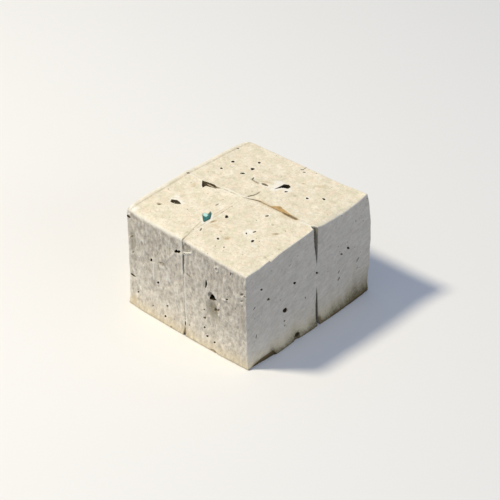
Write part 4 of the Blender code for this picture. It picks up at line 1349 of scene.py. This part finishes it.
def mottle_group() -> bpy.types.NodeTree:
    """Shader group for pressed curd's uneven colour and fine grain."""
    graph, given, result = new_tree(
        "curd_mottle", "ShaderNodeTree",
        [("Vector", "NodeSocketVector"), ("Patch Scale", "NodeSocketFloat"),
        ("Grain Scale", "NodeSocketFloat"),
         ("Crumb Scale", "NodeSocketFloat"), ("Slant", "NodeSocketFloat"), ("Brushed", "NodeSocketFloat")],
        [("Patches", "NodeSocketFloat"), ("Blush", "NodeSocketFloat"), ("Specks", "NodeSocketFloat"),
         ("Ragged", "NodeSocketFloat"), ("Grain", "NodeSocketFloat"), ("Crumb", "NodeSocketFloat")],
    )
    start = given.outputs
    patches = graph.steps(graph.noise(start["Vector"], start["Patch Scale"], 5.0, 0.68), 0.34, 0.66)
    elsewhere = graph.node(
        "ShaderNodeVectorMath", {0: start["Vector"], 1: (0.31, 0.17, 0.23)}, operation="ADD",
    ).outputs[0]
    blush_scale = graph.times(start["Patch Scale"], 1.6)
    blush = graph.steps(graph.noise(elsewhere, blush_scale, 4.0, 0.65), 0.46, 0.66)
    speck_scale = graph.times(start["Patch Scale"], 7.0)
    specks = graph.steps(graph.noise(elsewhere, speck_scale, 3.0, 0.65), 0.52, 0.72)
    ragged_scale = graph.times(start["Patch Scale"], 4.5)
    ragged = graph.steps(graph.noise(start["Vector"], ragged_scale, 4.0, 0.7), 0.3, 0.7)
    grain = graph.noise(start["Vector"], start["Grain Scale"], 4.0, 0.65)
    along = graph.node("ShaderNodeVectorRotate", {"Vector": start["Vector"], "Angle": start["Slant"]},
                       rotation_type="X_AXIS").outputs[0]
    brushed = graph.noise(graph.scaled(along, (1.0, 0.45, 1.0)), start["Crumb Scale"], 3.0, 0.8)
    plain = graph.noise(graph.scaled(start["Vector"], (1.0, 1.0, 0.6)), start["Crumb Scale"], 3.0, 0.8)
    crumb = graph.plus(graph.times(brushed, start["Brushed"]),
                       graph.times(plain, graph.math("SUBTRACT", 1.0, start["Brushed"])))
    crumb = graph.times(graph.math("SUBTRACT", crumb, 0.5), 2.0)
    outcome = {"Patches": patches, "Blush": blush, "Specks": specks, "Ragged": ragged, "Grain": grain,
               "Crumb": crumb}
    for name, socket in outcome.items():
        graph.tree.links.new(socket, result.inputs[name])
    return graph.tree


def new_finish(name: str) -> tuple[bpy.types.Material, Graph, bpy.types.Node]:
    """Start a material, and return it with its graph and its shader."""
    material = bpy.data.materials.new(name)
    material.use_nodes = True
    return material, Graph(material.node_tree), material.node_tree.nodes["Principled BSDF"]


@dataclass(frozen=True)
class CurdFinish:
    """Pressed soya curd: matte cream, mottled, pale where it broke and brown where it stands in whey. Shade is
    painted into its holes, cracks, cuts and sunk print, highlights onto its raised print, and a cool tint onto
    its sides.
    """

    name: str
    mottle: bpy.types.NodeTree
    cream: Colour = (248, 237, 213)
    green_cream: Colour = (227, 218, 188)
    blush: Colour = (243, 223, 195)
    speck: Colour = (208, 190, 154)
    shade: Colour = (200, 190, 175)
    cheek: Colour = (238, 227, 204)
    side_grey_and_sky_tint: Colour = (246, 247, 255)
    pale: Colour = (253, 248, 234)
    ridge: Colour = (250, 242, 226)
    crumb_swing: float = 0.34
    dappled_swing: float = 0.5
    grey: Colour = (176, 168, 148)
    soak: Colour = (218, 200, 158)
    brown: Colour = (116, 94, 54)
    tan: Colour = (196, 160, 104)
    olive: Colour = (98, 91, 64)
    pit_edge_shade: Colour = (118, 100, 66)
    pit_shade: Colour = (54, 46, 30)
    roughness: float = 0.62
    sheen: float = 0.35
    patch_scale: float = 150.0
    grain_scale: float = 2600.0
    crumb_scale: float = 450.0
    brush_slant: float = -24.0
    grain_depth: float = 0.05

    def build(self) -> bpy.types.Material:
        """Make the material.

        Returns:
            The material, which reads Object coordinates and the stains in the mesh's attributes.
        """
        material, graph, shader = new_finish(self.name)
        shader.inputs["Specular IOR Level"].default_value = self.sheen
        place = graph.node("ShaderNodeTexCoord").outputs["Object"]
        parts = graph.node("ShaderNodeGroup", {
            "Vector": place, "Patch Scale": self.patch_scale, "Grain Scale": self.grain_scale,
            "Crumb Scale": self.crumb_scale, "Slant": math.radians(self.brush_slant),
            "Brushed": graph.attribute("flank"),
        }, node_tree=self.mottle).outputs

        colour = graph.mix(parts["Patches"], linear(self.green_cream), linear(self.cream))
        colour = graph.mix(graph.times(parts["Blush"], 0.7), colour, linear(self.blush))
        colour = graph.mix(graph.times(parts["Specks"], 0.55), colour, linear(self.speck))
        bright = graph.steps(parts["Grain"], 0.50, 0.66)
        colour = graph.mix(graph.times(bright, 0.45), colour, linear(self.pale))
        # The sides get a flatter, cooler colour: partly the cut sides' greyer curd, partly painted shade of
        # the cool sky light that falls on them.
        crown = graph.attribute("crown")
        even = graph.mix(0.55, colour, linear(self.cheek))
        colour = graph.mix(crown, graph.mix(1.0, even, linear(self.side_grey_and_sky_tint), blend="MULTIPLY"), colour)
        # Sunk print is painted darker as shade, and raised print paler as a painted highlight.
        sunk = graph.steps(graph.attribute("relief"), -0.02, -0.16)
        colour = graph.mix(graph.times(sunk, 0.75), colour, linear(self.shade))
        raised = graph.steps(graph.attribute("relief"), 0.03, 0.16)
        colour = graph.mix(graph.times(raised, 0.8), colour, linear(self.ridge))
        swing = graph.plus(graph.times(graph.attribute("dappled"), self.dappled_swing), self.crumb_swing)
        value = graph.plus(graph.times(parts["Crumb"], swing), 1.0)
        colour = graph.grown(colour, value)
        for stain, tint in ((Stain.GREY, self.grey), (Stain.PALE, self.pale), (Stain.SOAK, self.soak),
                            (Stain.TAN, self.tan), (Stain.OLIVE, self.olive), (Stain.BROWN, self.brown)):
            colour = graph.mix(self.ragged(graph, stain, parts["Ragged"]), colour, linear(tint))
        # Holes, cracks, open cuts and pinholes are painted dark as shade.
        pinhole = graph.times(graph.attribute("pinhole"), 0.6)
        dark = graph.math("MAXIMUM", graph.attribute(Stain.DARK.value), pinhole)
        colour = graph.mix(graph.steps(dark, 0.0, 0.6), colour, linear(self.pit_edge_shade))
        colour = graph.mix(graph.steps(dark, 0.3, 0.85), colour, linear(self.pit_shade))
        rough = graph.plus(graph.times(dark, 1.0 - self.roughness), self.roughness)
        graph.tree.links.new(rough, shader.inputs["Roughness"])
        graph.tree.links.new(colour, shader.inputs["Base Color"])
        bump = graph.node(
            "ShaderNodeBump",
            {"Strength": 1.0, "Distance": self.grain_depth * MM, "Height": parts["Grain"]},
        )
        graph.tree.links.new(bump.outputs["Normal"], shader.inputs["Normal"])
        return material

    def ragged(self, graph: Graph, stain: Stain, noise: bpy.types.NodeSocket) -> bpy.types.NodeSocket:
        """Strength of a stain, broken up by noise where it is weak."""
        amount = graph.attribute(stain.value)
        swing = graph.plus(graph.times(noise, 0.5), 0.75)
        return graph.math("MINIMUM", graph.times(amount, swing), 1.0)


@dataclass(frozen=True)
class FlakeFinish:
    """A chip of blue-green leaf or rind: glossy, darker at its edges, with a pale painted highlight where it
    is bent.
    """

    name: str
    teal: Colour = (60, 124, 117)
    deep: Colour = (26, 66, 56)
    highlight_wash: Colour = (196, 240, 228)
    roughness: float = 0.35

    def build(self) -> bpy.types.Material:
        """Make the material, which reads the chip's own rim attribute and the attribute of its painted
        highlight.
        """
        material, graph, shader = new_finish(self.name)
        shader.inputs["Roughness"].default_value = self.roughness
        place = graph.node("ShaderNodeTexCoord").outputs["Object"]
        veins = graph.steps(graph.noise(place, 900.0, 3.0, 0.6), 0.35, 0.65)
        colour = graph.mix(graph.times(veins, 0.35), linear(self.teal), linear(self.deep))
        colour = graph.mix(graph.attribute("highlight_wash"), colour, linear(self.highlight_wash))
        colour = graph.mix(graph.attribute("rim"), colour, linear(self.deep))
        graph.tree.links.new(colour, shader.inputs["Base Color"])
        bump = graph.node("ShaderNodeBump", {"Strength": 0.6, "Distance": 0.05 * MM, "Height": veins})
        graph.tree.links.new(bump.outputs["Normal"], shader.inputs["Normal"])
        return material


@dataclass(frozen=True)
class FloorFinish:
    """Plain pale ground. By the block it throws light back as a white dish would, and further off little."""

    name: str
    shown: Colour = (244, 242, 238)
    thrown_near: float = 0.90
    thrown_far: float = 0.10
    centre: tuple[float, float, float] = (-0.030, -0.035, 0.0)
    reach: tuple[float, float] = (0.085, 0.115)
    roughness: float = 0.9

    def build(self) -> bpy.types.Material:
        """Make the material."""
        material, graph, shader = new_finish(self.name)
        shader.inputs["Roughness"].default_value = self.roughness
        shader.inputs["Specular IOR Level"].default_value = 0.1
        place = graph.node("ShaderNodeTexCoord").outputs["Object"]
        offset = {0: place, 1: self.centre}
        radius = graph.node("ShaderNodeVectorMath", offset, operation="DISTANCE").outputs["Value"]
        far = graph.steps(radius, *self.reach)
        thrown = graph.mix(far, (self.thrown_near,) * 3 + (1.0,), (self.thrown_far,) * 3 + (1.0,))
        seen = graph.node("ShaderNodeLightPath").outputs["Is Camera Ray"]
        colour = graph.mix(seen, thrown, linear(self.shown))
        graph.tree.links.new(colour, shader.inputs["Base Color"])
        return material


# ---------------------------------------------------------------------------------------------------------
# Pieces
# ---------------------------------------------------------------------------------------------------------

TOUCH = 1e-5  # a share within this of 0 or 1 is on the face there


def cut_across(shape: bmesh.types.BMesh, axis: int, steps: Sequence[float]) -> None:
    """Divide a shape at steps along one axis."""
    normal = Vector((0, 0, 0))
    normal[axis] = 1
    for step in steps:
        everything = shape.verts[:] + shape.edges[:] + shape.faces[:]
        bmesh.ops.bisect_plane(shape, geom=everything, plane_co=normal * float(step), plane_no=normal)


def new_mesh(name: str, shape: bmesh.types.BMesh) -> bpy.types.Mesh:
    """A mesh made from a shape, which is freed."""
    mesh = bpy.data.meshes.new(name)
    shape.to_mesh(mesh)
    shape.free()
    return mesh


def fill_mesh(mesh: bpy.types.Mesh, points: np.ndarray, amounts: dict[str, np.ndarray]) -> None:
    """Give a mesh its points, in millimetres, and its float attributes."""
    mesh.vertices.foreach_set("co", (points * MM).astype(np.float32).ravel())
    for name, amount in amounts.items():
        mesh.attributes.new(name, "FLOAT", "POINT").data.foreach_set("value", amount.astype(np.float32))
    mesh.update()


@dataclass
class Quarter:
    """One quarter of the block: a fine skin over its form, with the marks that fall on it."""

    name: str
    node: str
    sides: tuple[int, int]
    form: BlockForm
    seed: int
    outer_end: tuple[float, float] = (0.9, 2.0)
    cut_end: tuple[float, float] = (0.5, 1.5)
    cells: tuple[float, float, float] = (1.65, 1.75, 2.25)
    skin_rounds: int = 2
    mark_margins: tuple[float, float] = (0.7, 0.2)
    lip_share: float = 0.35
    lip_depth: float = 2.4
    shut_width: float = 0.02
    wall_shade_rise: float = 0.3
    foot_fade: float = 1.5
    calm_share: float = 0.25
    calm_reach: float = 4.0
    streak_start: float = 38.0
    streak_rise: float = 18.0
    rim_share: float = 0.3
    crown_rim_share: float = 0.5

    def steps(self, length: float, cell: float, upright: bool) -> np.ndarray:
        """Shares at which one axis of the quarter's box is divided, closer at its ends."""
        last = self.outer_end if upright else self.cut_end
        count = round((length - self.outer_end[1] - last[1]) / cell)
        middle = np.linspace(self.outer_end[1], length - last[1], count + 1)
        return np.array([self.outer_end[0], *middle, length - last[0]]) / length

    def box(self) -> bmesh.types.BMesh:
        """The quarter's unit box, coarsely divided. X and Y run from the outer face to the cut, and Z up."""
        shape = bmesh.new()
        bmesh.ops.create_cube(shape, size=1.0, matrix=Matrix.Translation((0.5, 0.5, 0.5)))
        size = self.form.size()
        for axis in range(3):
            cut_across(shape, axis, self.steps(size[axis], self.cells[axis], upright=axis == 2))
        return shape

    def faces_of(self, shares: np.ndarray) -> dict[Face, np.ndarray]:
        """Numbers of the points that lie on each outer face."""
        return dict(zip((Face.TOP, *outer_faces(self.sides)), map(np.flatnonzero, self.on_faces(shares))))

    def on_faces(self, shares: np.ndarray) -> tuple[np.ndarray, np.ndarray, np.ndarray]:
        """Whether each point lies on the top, on the outer face across X and on the one across Y."""
        return shares[:, 2] > 1 - TOUCH, shares[:, 0] < TOUCH, shares[:, 1] < TOUCH

    def near_marks(self, shares: np.ndarray, margin: float) -> np.ndarray:
        """Whether each place lies within a margin of a mark that needs a fine mesh."""
        points = self.form.surface(self.sides, shares)
        near = np.zeros(len(shares), bool)
        for face, chosen in self.faces_of(shares).items():
            places = points[chosen][:, face.along]
            for mark in FACE_MARKS:
                if mark.face is face and mark.needs_detail():
                    near[chosen] |= mark.gap(places) < margin
        for bite in BITES:
            near |= bite.gap(points) < margin
        return near

    def divide(self, shape: bmesh.types.BMesh, chosen: np.ndarray) -> None:
        """Halve the edges of the chosen faces."""
        edges = {edge for face, pick in zip(shape.faces, chosen) if pick for edge in face.edges}
        bmesh.ops.subdivide_edges(shape, edges=list(edges), cuts=1, use_grid_fill=True)

    def lattice(self) -> bmesh.types.BMesh:
        """The unit box with its outer faces finely divided, and finer around the marks."""
        shape = self.box()
        for _ in range(self.skin_rounds):
            centres = np.array([face.calc_center_median() for face in shape.faces])
            self.divide(shape, np.any(self.on_faces(centres), axis=0))
        for margin in self.mark_margins:
            centres = np.array([face.calc_center_median() for face in shape.faces])
            self.divide(shape, self.near_marks(centres, margin))
        return shape

    def pressed_skin(self, shares: np.ndarray) -> Skin:
        """The quarter's skin with every mark pressed into it."""
        points = self.form.surface(self.sides, self.form.rounded(self.sides, shares))
        skin = Skin(self.form, self.sides, shares, points, self.faces_of(shares))
        self.shade_gape_walls(skin)
        for mark in FACE_MARKS:
            if mark.face in skin.faces:
                mark.press(skin)
        for bite in BITES:
            bite.press(skin)
        skin.points[:, 2] = np.maximum(skin.points[:, 2], 0.0)
        return skin

    def shade_gape_walls(self, skin: Skin) -> None:
        """Paint shade on the walls of a cut where it stands open, fainter near its lips."""
        x, y, z = skin.rest.T
        size = self.form.size()
        for cut, axis, along in ((Cut.LONG, 1, x), (Cut.SHORT, 0, y)):
            wall = skin.shares[:, axis] > 1 - TOUCH
            inwards = skin.shares[:, 1 - axis] * size[1 - axis]
            depth = np.minimum(inwards, (1 - skin.shares[:, 2]) * size[2])
            wall = wall * (self.lip_share + (1 - self.lip_share) * smooth_step(depth / self.lip_depth))
            for gape in self.form.gapes[cut]:
                opened = (gape.opening(along, z) - self.shut_width) / self.wall_shade_rise
                skin.stain_points(slice(None), gape.stain, gape.amount * wall * smooth_step(opened))

    def masks(self, shares: np.ndarray, height: np.ndarray) -> dict[str, np.ndarray]:
        """Where the skin tree may press, and how much: everywhere outside, and for each kind of print."""
        top, across_x, across_y = self.on_faces(shares)
        foot = np.clip(height / self.foot_fade, 0, 1)
        from_edge = np.where(top, self.calm_reach, (1 - shares[:, 2]) * self.form.full_height)
        calm = self.calm_share + (1 - self.calm_share) * smooth_step(from_edge / self.calm_reach)
        streak = smooth_step((height - self.streak_start) / self.streak_rise)
        return {
            "outer": (top | across_x | across_y) * foot,
            "dappled": np.where(across_y, calm, 0.0) * np.where(top | across_x, self.rim_share, 1.0),
            "streaked": np.where(across_y, calm, 0.0) * streak,
            "flank": np.where(across_x, calm, 0.0) * np.where(top | across_y, self.rim_share, 1.0),
            "crown": np.where(top, 1.0, 0.0) * np.where(across_x | across_y, self.crown_rim_share, 1.0),
        }

    def build(self, tree: bpy.types.NodeTree, finish: bpy.types.Material) -> bpy.types.Object:
        """Make the quarter.

        Args:
            tree: The skin tree.
            finish: The curd's material.

        Returns:
            The finished piece.
        """
        shape = self.lattice()
        if self.sides[0] != self.sides[1]:  # these two quarters are mirrored
            bmesh.ops.reverse_faces(shape, faces=shape.faces)
        shares = np.array([vert.co for vert in shape.verts])
        mesh = new_mesh(f"{self.name}_form", shape)
        skin = self.pressed_skin(shares)
        stains = {stain.value: amount for stain, amount in skin.stains.items()}
        fill_mesh(mesh, skin.points, {**stains, **self.masks(shares, skin.points[:, 2])})
        return run_tree(placed(mesh.name, mesh), tree, {
            "Swell Depth": 0.5 * MM, "Swell Scale": 70.0,
            "Dapple Depth": 0.40 * MM, "Dapple Scale": 400.0, "Dapple Stretch": 1.6,
            "Streak Depth": 0.26 * MM, "Streak Scale": 620.0, "Streak Stretch": 5.0,
            "Drag Depth": 0.14 * MM, "Drag Scale": 330.0, "Drag Slant": math.radians(-22.0),
            "Dent Depth": 0.14 * MM, "Dent Scale": 420.0,
            "Pinhole Density": 9000.0, "Pinhole Radius": 0.6 * MM, "Pinhole Depth": 0.45 * MM,
            "Seed": self.seed, "Finish": finish,
        }, self.name)


@dataclass
class Flake:
    """The blue-green chip that lies on the cut: a bent scrap with two raised horns."""

    name: str = "leaf_flake"
    outline: tuple[Place, ...] = (
        (-11.4, -27.6), (-11.7, -26.6), (-11.0, -25.8), (-9.5, -25.7), (-8.7, -25.0), (-9.5, -22.6),
        (-8.2, -23.5),
        (-6.2, -25.8), (-4.9, -27.8), (-5.1, -30.4), (-5.5, -32.5), (-6.5, -32.1), (-8.6, -30.4),
        (-10.6, -28.6),
    )
    crease: tuple[Place, ...] = (
        (-11.4, -27.4), (-11.6, -26.6), (-11.0, -25.8), (-9.5, -25.7), (-8.2, -26.2), (-7.9, -28.2),
        (-10.2, -28.2),
    )
    middle: Place = (-8.2, -27.4)
    slant: Place = (0.80, 0.60)
    sunk: float = 0.55
    rim_width: float = 0.6
    thickness: float = 0.35
    cell: float = 0.28

    def build(self, form: BlockForm, finish: bpy.types.Material) -> bpy.types.Object:
        """Make the chip on the block's top.

        Args:
            form: The block's form, which gives the height that the chip lies at.
            finish: The chip's material.

        Returns:
            The finished piece.
        """
        shape = bmesh.new()
        shape.faces.new([shape.verts.new((x, y, 0)) for x, y in self.outline])
        low = np.min(self.outline, axis=0)
        high = np.max(self.outline, axis=0)
        for axis in (0, 1):
            cut_across(shape, axis, np.arange(low[axis] + self.cell, high[axis], self.cell))
        bmesh.ops.triangulate(shape, faces=[face for face in shape.faces if len(face.verts) > 4])
        bmesh.ops.recalc_face_normals(shape, faces=shape.faces)
        if sum(face.normal.z for face in shape.faces) < 0:
            bmesh.ops.reverse_faces(shape, faces=shape.faces)
        mesh = new_mesh(self.name, shape)
        plan = np.array([vertex.co for vertex in mesh.vertices])[:, :2]
        points, rim, highlight_wash = self.bent(plan, form)
        fill_mesh(mesh, points, {"rim": rim, "highlight_wash": highlight_wash})
        mesh.materials.append(finish)
        chip = placed(self.name, mesh)
        walls = chip.modifiers.new("thickness", "SOLIDIFY")
        walls.thickness = self.thickness * MM
        walls.offset = 1.0
        chip.data.shade_smooth()
        return chip

    def bent(self, plan: np.ndarray, form: BlockForm) -> tuple[np.ndarray, np.ndarray, np.ndarray]:
        """Places of the chip once its horns are bent up, the amount of its rim and the amount of the painted
        highlight on its crease.
        """
        from_x, from_y = (plan - np.array(self.middle)).T
        across = from_x * self.slant[0] + from_y * self.slant[1]
        along = from_y * self.slant[0] - from_x * self.slant[1]
        ground = form.top_heights[0, 0] - self.sunk + 0.012 * (plan[:, 1] + 27.0)
        rise = 0.07 * np.maximum(0, along + 0.5) ** 1.3 + 0.05 * np.abs(across) ** 1.4
        rise += 0.10 * np.sin(plan[:, 0] * 2.1) * np.sin(plan[:, 1] * 1.7)
        rim = smooth_step(1 - line_gap(plan, [*self.outline, self.outline[0]]) / self.rim_width) * 0.8
        highlight_wash = smooth_step(0.6 - outline_gap(plan, self.crease) / 0.9)
        return np.column_stack((plan, ground + rise)), rim * (1 - highlight_wash), highlight_wash


@dataclass
class Crumbs:
    """Loose grains of curd along the foot, the cuts and the torn places."""

    name: str = "curd_crumbs"
    count: int = 150
    smallest: float = 0.10
    largest: float = 0.34
    seed: int = 5

    def spots(self, quarters: Sequence[bpy.types.Object]) -> np.ndarray:
        """Places for the grains: outer points of the quarters, more of them where the curd is pale."""
        random = np.random.default_rng(self.seed)
        places = []
        for quarter in quarters:
            mesh = quarter.data
            points = np.zeros(len(mesh.vertices) * 3, np.float32)
            mesh.vertices.foreach_get("co", points)
            amounts = {}
            for name in ("outer", "pale"):
                amounts[name] = np.zeros(len(mesh.vertices), np.float32)
                mesh.attributes[name].data.foreach_get("value", amounts[name])
            weight = amounts["outer"] * (0.02 + amounts["pale"] ** 2)
            weight[points.reshape(-1, 3)[:, 2] < 1.0 * MM] = 0
            odds = weight / weight.sum()
            chosen = random.choice(len(weight), self.count // len(quarters), replace=False, p=odds)
            places.append(points.reshape(-1, 3)[chosen])
        return np.concatenate(places)

    def build(
        self, quarters: Sequence[bpy.types.Object], tree: bpy.types.NodeTree, finish: bpy.types.Material,
    ) -> bpy.types.Object:
        """Make the grains.

        Args:
            quarters: The finished quarters that the grains lie on.
            tree: The crumb tree.
            finish: The grains' material.

        Returns:
            The finished piece.
        """
        mesh = bpy.data.meshes.new(f"{self.name}_spots")
        mesh.from_pydata(self.spots(quarters).tolist(), [], [])
        values = {
            "Smallest": self.smallest * MM, "Largest": self.largest * MM, "Seed": self.seed, "Finish": finish,
        }
        return run_tree(placed(mesh.name, mesh), tree, values, self.name)


@dataclass
class TofuBlock:
    """The whole block: four quarters, the crumbs on them and the chip on top."""

    form: BlockForm = field(default_factory=BlockForm)
    sides: dict[str, tuple[int, int]] = field(default_factory=lambda: {
        "left": (-1, -1), "front": (1, -1), "right": (1, 1), "back": (-1, 1),
    })

    def build(self) -> list[bpy.types.Object]:
        """Make every piece and tie it to the frame.

        Returns:
            The pieces.
        """
        mottle = mottle_group()
        curd = CurdFinish("pressed_curd", mottle).build()
        grains = CurdFinish("curd_grains", mottle, cream=(248, 243, 230), green_cream=(243, 239, 224)).build()
        tree = skin_tree()
        quarters = []
        for number, (corner, sides) in enumerate(self.sides.items()):
            quarter = Quarter(f"curd_{corner}", f"quarter_{corner}", sides, self.form, seed=number + 1)
            quarters.append(self.fixed(quarter.build(tree, curd), "curd", quarter.node))
        crumbs = self.fixed(Crumbs().build(quarters, crumb_tree(), grains), "curd")
        flake = self.fixed(Flake().build(self.form, FlakeFinish("leaf_flake").build()), "chip")
        return [*quarters, crumbs, flake]

    def fixed(self, piece: bpy.types.Object, slot: str, *nodes: str) -> bpy.types.Object:
        """Tie a piece to the frame and report it."""
        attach(piece, "root")
        if nodes:
            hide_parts(*nodes)
        triangles = sum(len(polygon.vertices) - 2 for polygon in piece.data.polygons)
        log.info("%s: %d triangles, slot %s", piece.name, triangles, slot)
        return piece


@dataclass(frozen=True)
class SoftLight:
    """A round soft light: angles in degrees, distance and width in millimetres, power in watts."""

    name: str
    azimuth: float
    elevation: float
    distance: float
    size: float
    power: float
    colour: tuple[float, float, float]


@dataclass
class Studio:
    """Plain pale floor, a soft key from the upper left, a cool dome and the camera."""

    azimuth: float = 43.63
    elevation: float = 35.63
    roll: float = -0.83
    distance: float = 1436.3
    aim: tuple[float, float, float] = (0.2, 1.7, 35.0)
    lens: float = 165.88
    lights: tuple[SoftLight, ...] = (
        SoftLight(
            "key", azimuth=-47.8, elevation=58.0, distance=1600.0, size=240.0, power=20.4,
            colour=(1.0, 0.92, 0.745),
        ),
        SoftLight(
            "fill", azimuth=100.0, elevation=12.0, distance=1500.0, size=1400.0, power=7.4,
            colour=(0.92, 0.95, 1.0),
        ),
    )
    dome_colour: tuple[float, float, float] = (0.25, 0.30, 0.41)
    floor_size: float = 12.0

    def direction(self, azimuth: float, elevation: float) -> Vector:
        """Direction from the block towards an azimuth (0 at -Y, growing towards +X) and an elevation."""
        turn, rise = math.radians(azimuth), math.radians(elevation)
        return Vector((math.sin(turn) * math.cos(rise), -math.cos(turn) * math.cos(rise), math.sin(rise)))

    def build_camera(self) -> None:
        """Make the camera and give it to the scene."""
        camera = placed("camera", bpy.data.cameras.new("camera"))
        back = self.direction(self.azimuth, self.elevation)
        turn = (-back).to_track_quat("-Z", "Y").to_matrix().to_4x4()
        roll = Matrix.Rotation(math.radians(self.roll), 4, "Z")
        camera.matrix_world = Matrix.Translation((Vector(self.aim) + back * self.distance) * MM) @ turn @ roll
        camera.data.lens = self.lens
        camera.data.clip_start = 0.1
        camera.data.clip_end = 30.0
        bpy.context.scene.camera = camera

    def hang(self, plan: SoftLight) -> None:
        """Make a light that looks at the block's foot."""
        light = placed(plan.name, bpy.data.lights.new(plan.name, "AREA"))
        light.data.shape = "DISK"
        light.data.size = plan.size * MM
        light.data.energy = plan.power
        light.data.color = plan.colour
        towards = self.direction(plan.azimuth, plan.elevation)
        light.location = towards * plan.distance * MM
        light.rotation_euler = (-towards).to_track_quat("-Z", "Y").to_euler()

    def build_lights(self) -> None:
        """Make the lights and the dome."""
        for plan in self.lights:
            self.hang(plan)
        world = bpy.data.worlds.new("dome")
        world.use_nodes = True
        world.node_tree.nodes["Background"].inputs["Color"].default_value = (*self.dome_colour, 1.0)
        bpy.context.scene.world = world

    def build_floor(self) -> bpy.types.Object:
        """Make the floor."""
        half = self.floor_size / 2
        mesh = bpy.data.meshes.new("floor")
        corners = [(-half, -half, 0), (half, -half, 0), (half, half, 0), (-half, half, 0)]
        mesh.from_pydata(corners, [], [(0, 1, 2, 3)])
        mesh.materials.append(FloorFinish("pale_floor").build())
        return placed("floor", mesh)

    def build(self) -> None:
        """Make the studio."""
        self.build_camera()
        self.build_lights()
        self.build_floor()
        bpy.context.scene.view_settings.view_transform = "Standard"


def main() -> None:
    """Build the studio and the block."""
    logging.basicConfig(level=logging.INFO, format="%(name)s: %(message)s")
    Studio().build()
    TofuBlock().build()


if __name__ == "__main__":
    main()
